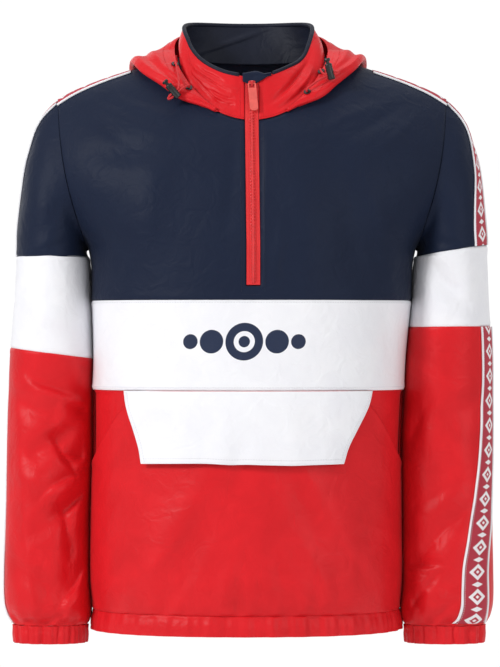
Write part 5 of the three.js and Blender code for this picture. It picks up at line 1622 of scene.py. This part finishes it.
def through(points, count):
    """A centripetal spline through points, like the route in the part's source, and its length."""
    pts = [np.array(p, float) for p in points]
    pts = [2 * pts[0] - pts[1]] + pts + [2 * pts[-1] - pts[-2]]
    found = []
    for k in range(1, len(pts) - 2):
        p0, p1, p2, p3 = pts[k - 1 : k + 3]
        pairs = ((p0, p1), (p1, p2), (p2, p3))
        d0, d1, d2 = [max(np.linalg.norm(b - a) ** 0.5, 1e-4) for a, b in pairs]
        t1 = ((p1 - p0) / d0 - (p2 - p0) / (d0 + d1) + (p2 - p1) / d1) * d1
        t2 = ((p2 - p1) / d1 - (p3 - p1) / (d1 + d2) + (p3 - p2) / d2) * d1
        for t in np.linspace(0, 1, 13)[:-1]:
            a = p1 * (2 * t**3 - 3 * t**2 + 1) + p2 * (3 * t**2 - 2 * t**3)
            found.append(a + t1 * (t**3 - 2 * t**2 + t) + t2 * (t**3 - t**2))
    found.append(pts[-2])
    found = np.array(found)
    run = reach(found, 0)
    return place_at(np.linspace(0, run[-1], count), run, found), run[-1]


def tube_along(name, line, radius, sides=16):
    verts, uvs = [], []
    side = np.array([0.0, 0.0, 1.0])
    step = np.linalg.norm(line[1] - line[0])
    for k, at in enumerate(line):
        ahead = unit(line[min(k + 1, len(line) - 1)] - line[max(k - 1, 0)])
        side = unit(side - ahead * side.dot(ahead))
        other = np.cross(ahead, side)
        for i in range(sides):
            a = 2 * math.pi * i / sides
            verts.append(at + radius * (side * math.cos(a) + other * math.sin(a)))
            uvs.append((i / sides * 2 * math.pi * radius * 0.001, k * step * 0.001))
    return make(name, verts, ring_faces(len(line), sides), uvs)


def lathe(name, profile, at, axes, sides=48):
    """A turned piece: profile of radius and height, closed on its axis at both ends."""
    x, y, z = axes
    verts = []
    for radius, height in profile:
        for i in range(sides):
            a = 2 * math.pi * i / sides
            verts.append(at + (x * math.cos(a) + y * math.sin(a)) * radius + z * height)
    obj = make(name, verts, ring_faces(len(profile), sides), np.zeros((len(verts), 2)))
    obj.data.set_sharp_from_angle(angle=SHARP)
    return obj


def cut_away(obj, cutter):
    step = obj.modifiers.new("cut", "BOOLEAN")
    step.operation = "DIFFERENCE"
    step.object = cutter
    step.solver = "EXACT"
    ready = obj.evaluated_get(bpy.context.evaluated_depsgraph_get())
    mesh = bpy.data.meshes.new_from_object(ready)
    obj.modifiers.clear()
    obj.data = mesh
    bpy.data.objects.remove(cutter)


def cord_material():
    mat, tree, _ = material("cord_braid", (0.70, 0.02, 0.03), 0.62)
    x, y = cloth_axes(tree)
    calc = partial(math_node, tree)
    turn = calc("MULTIPLY", x, 4 / (CORD_RADIUS * 0.001))
    run = calc("MULTIPLY", y, 2 * math.pi / 0.0022)
    one, two = [calc("SINE", calc(way, run, turn)) for way in ("ADD", "SUBTRACT")]
    braid = calc("MULTIPLY", one, two)
    # The braid is painted darker red where its relief is lowest: painted shade in the grooves between the
    # strands.
    tone = calc("ADD", calc("MULTIPLY", braid, 0.5), 0.5)
    paint(tree, tone, (0.0, (0.50, 0.010, 0.016)), (1.0, (0.76, 0.03, 0.035)))
    relief(tree, braid, 0.6, 0.0004)
    return mat


SHARP = 0.6
# Radius and height of the turned parts of a cord lock, from the low end
barrel_profile = [(0.01, 0), (3.2, 0), (4.0, 0.35), (4.3, 1.1), (4.3, 13.0), (4.05, 13.3), (4.05, 14.0)]
barrel_profile += [(4.3, 14.3), (4.3, 15.4), (4.05, 15.7), (4.05, 16.4), (4.3, 16.7), (4.3, 17.9)]
barrel_profile += [(4.0, 18.6), (3.4, 19), (2.4, 19), (2.4, 12), (0.01, 12)]
plunger_profile = [(0.01, 15.4), (2.1, 15.4), (2.1, 22), (3.3, 22), (3.7, 22.4), (3.7, 24.3)]
plunger_profile += [(3.4, 25.0), (2.8, 25.3), (2.2, 25.3), (1.8, 25.0), (0.01, 24.9)]
cord_red = cord_material()


def lock_and_cord(name):
    found = fittings[name]
    low = np.array(found["low"], float)
    x = unit(np.array(found["across"], float))
    z = unit(np.array(found["up"], float))
    y = np.cross(z, x)

    def local(a, b):
        return low + x * a + z * b

    def off(k, d):
        at, way = found["rings"][k]
        return np.array(at) + np.array(way) * d

    # Down through the upper eyelet, twice through the barrel round a short bend, and into the lower eyelet
    route = [off(0, -6), off(0, -1), off(0, 3.4), (off(0, 5.5) + local(9, 8.1)) / 2]
    route += [local(6.5, 8.1), local(0, 8.1), local(-7, 8.1), local(-10.4, 6.5)]
    route += [local(-7, 4.9), local(0, 4.9), local(6.5, 4.9)]
    route += [(off(1, 5.5) + local(9, 4.9)) / 2, off(1, 3.4), off(1, -1), off(1, -6)]
    line, length = through(route, 150)
    cord = tube_along(f"cord_{name}", line, CORD_RADIUS)
    finish_piece(cord, cord_red, f"drawcord_{name}")
    barrel = lathe(f"lock_barrel_shell_{name}", barrel_profile, low, (x, y, z))
    places = product((-6, 6), (-1.7, 1.7), (3.2, 9.8))
    box = [low + x * a + y * b + z * c for a, b, c in places]
    box_faces = [[0, 1, 3, 2], [4, 6, 7, 5], [0, 4, 5, 1], [2, 3, 7, 6], [0, 2, 6, 4], [1, 5, 7, 3]]
    cut_away(barrel, make(f"cutter_{name}", box, box_faces, smooth_faces=False))
    barrel.data.set_sharp_from_angle(angle=SHARP)
    finish_piece(barrel, black_lock, f"lock_barrel_{name}")
    plunger = lathe(f"lock_plunger_shell_{name}", plunger_profile, low, (x, y, z))
    finish_piece(plunger, black_lock, f"lock_plunger_{name}", f"plunger_{name}")


for name in ("right", "left"):
    lock_and_cord(name)


# Topstitching, as short threads that lie on the cloth
thread_navy = shell_cloth("thread_navy", (0.020, 0.026, 0.050), (0.016, 0.02, 0.04), 0.6, crinkle=0.0)
thread_red = shell_cloth("thread_red", (0.60, 0.012, 0.018), (0.52, 0.010, 0.015), 0.6, crinkle=0.0)
thread_white = shell_cloth("thread_white", (0.72, 0.72, 0.75), (0.66, 0.66, 0.70), 0.6, crinkle=0.0)
STITCH_PITCH, STITCH_LENGTH, STITCH_RADIUS = 3.1, 2.3, 0.3


def stitch_run(line, n, verts, faces):
    run = reach(line, 0)
    for k in range(int(run[-1] / STITCH_PITCH)):
        start = len(verts)
        for t, size in ((0, 0.35), (0.2, 1.0), (0.8, 1.0), (1, 0.35)):
            at = (k + 0.15) * STITCH_PITCH + t * STITCH_LENGTH
            ahead = unit(place_at(at + 0.4, run, line) - place_at(at - 0.4, run, line))
            up = place_at(at, run, n)
            up = unit(up - ahead * up.dot(ahead))
            side = np.cross(ahead, up)
            point = place_at(at, run, line) + up * (0.12 * size)
            for a in range(6):
                turn = a * math.pi / 3
                verts.append(point + STITCH_RADIUS * size * (up * math.sin(turn) + side * math.cos(turn)))
        faces += [[start + i for i in corners][::-1] for corners in ring_faces(4, 6)]


def stitches(name, lines, mat):
    verts, faces = [], []
    for line, n in lines:
        stitch_run(line, n, verts, faces)
    obj = make(name, verts, faces, np.zeros((len(verts), 2)))
    obj.data.materials.append(mat)
    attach(obj, "garment")
    return obj


def line_in(name, edge, inset, skip=0):
    """A line on a piece's grid at a distance in from one of its edges."""
    p, n = grids[name]
    if edge in ("first_column", "last_column"):
        p, n = np.swapaxes(p, 0, 1), np.swapaxes(n, 0, 1)
    if edge in ("last_row", "last_column"):
        p, n = p[:, ::-1], n[:, ::-1]
    run = reach(p, 1)
    picked = range(skip, p.shape[0] - skip)
    return [np.array([place_at(inset, run[k], grid[k]) for k in picked]) for grid in (p, n)]


PLACKET_HALF = 13.3
PLACKET_END = -276.0


def placket_lines():
    collar, yoke = [], []
    for side in (-1, 1):
        z = np.linspace(NECK_FRONT - 1, PLACKET_END, 110)
        x = zip_x(z) + side * PLACKET_HALF
        yoke.append((sheet_point(-1, x, z), sheet_normal(-1, x, z)))
        share = np.linspace(0.03, 0.84, 30)
        angle = math.degrees(math.asin((ZIP_TOP_X + side * PLACKET_HALF) / NECK_HALF)) * np.ones(30)
        n = collar_out(angle)
        push = collar_folds(angle % 360, share)
        collar.append((collar_point(angle, share) + n * push[:, None], n))
    x = zip_x(PLACKET_END) + np.linspace(-PLACKET_HALF, PLACKET_HALF, 12)
    z = np.full(12, PLACKET_END)
    yoke.append((sheet_point(-1, x, z), sheet_normal(-1, x, z)))
    return collar, yoke


collar_placket, yoke_placket = placket_lines()
collar_runs = collar_placket + [line_in("collar_cloth", "first_row", 2.5)]
flap_runs = [line_in("pocket_flap_cloth", "last_row", 6, 4)]
flap_runs += [line_in("pocket_flap_cloth", edge, 6, 2) for edge in ("first_column", "last_column")]
band_runs = [line_in("front_band_cloth", "last_row", 4), line_in("front_band_cloth", "first_row", 3)]
hood_runs = [line_in("hood_cloth", "last_row", 14)]
# The sewn lines that each sheet of cloth carries
carried = {
    "front_yoke": [stitches("stitches_placket", yoke_placket, thread_navy)],
    "collar": [stitches("stitches_collar", collar_runs, thread_red)],
    "pocket_flap": [stitches("stitches_flap", flap_runs, thread_white)],
    "front_band": [stitches("stitches_band", band_runs, thread_white)],
    "hood": [stitches("stitches_hood", hood_runs, thread_red)],
}


def cut_of(name):
    """Width, length and area of a piece's cloth, measured on its grid in metres."""
    p, _ = grids[name]
    if grids_closed[name]:
        p = np.concatenate([p, p[:1]])
    width = reach(p, 0)[-1].max() * 0.001
    length = reach(p, 1)[:, -1].max() * 0.001
    a = p[1:, 1:] - p[:-1, :-1]
    b = p[1:, :-1] - p[:-1, 1:]
    return width, length, np.linalg.norm(np.cross(a, b), axis=-1).sum() / 2 * 1e-6


for name in ("right", "left"):
    for part in ("shoulder", "cap", "lower"):
        edges = [pieces[f"piping_{part}_{edge}_{name}"] for edge in ("back", "front")]
        carried[f"tape_{part}_{name}"] = edges

for node_name, obj in pieces.items():
    if obj.name not in grids or node_name.startswith("piping_"):
        continue
    width, length, area = cut_of(obj.name)
    area = min(area, width * length)
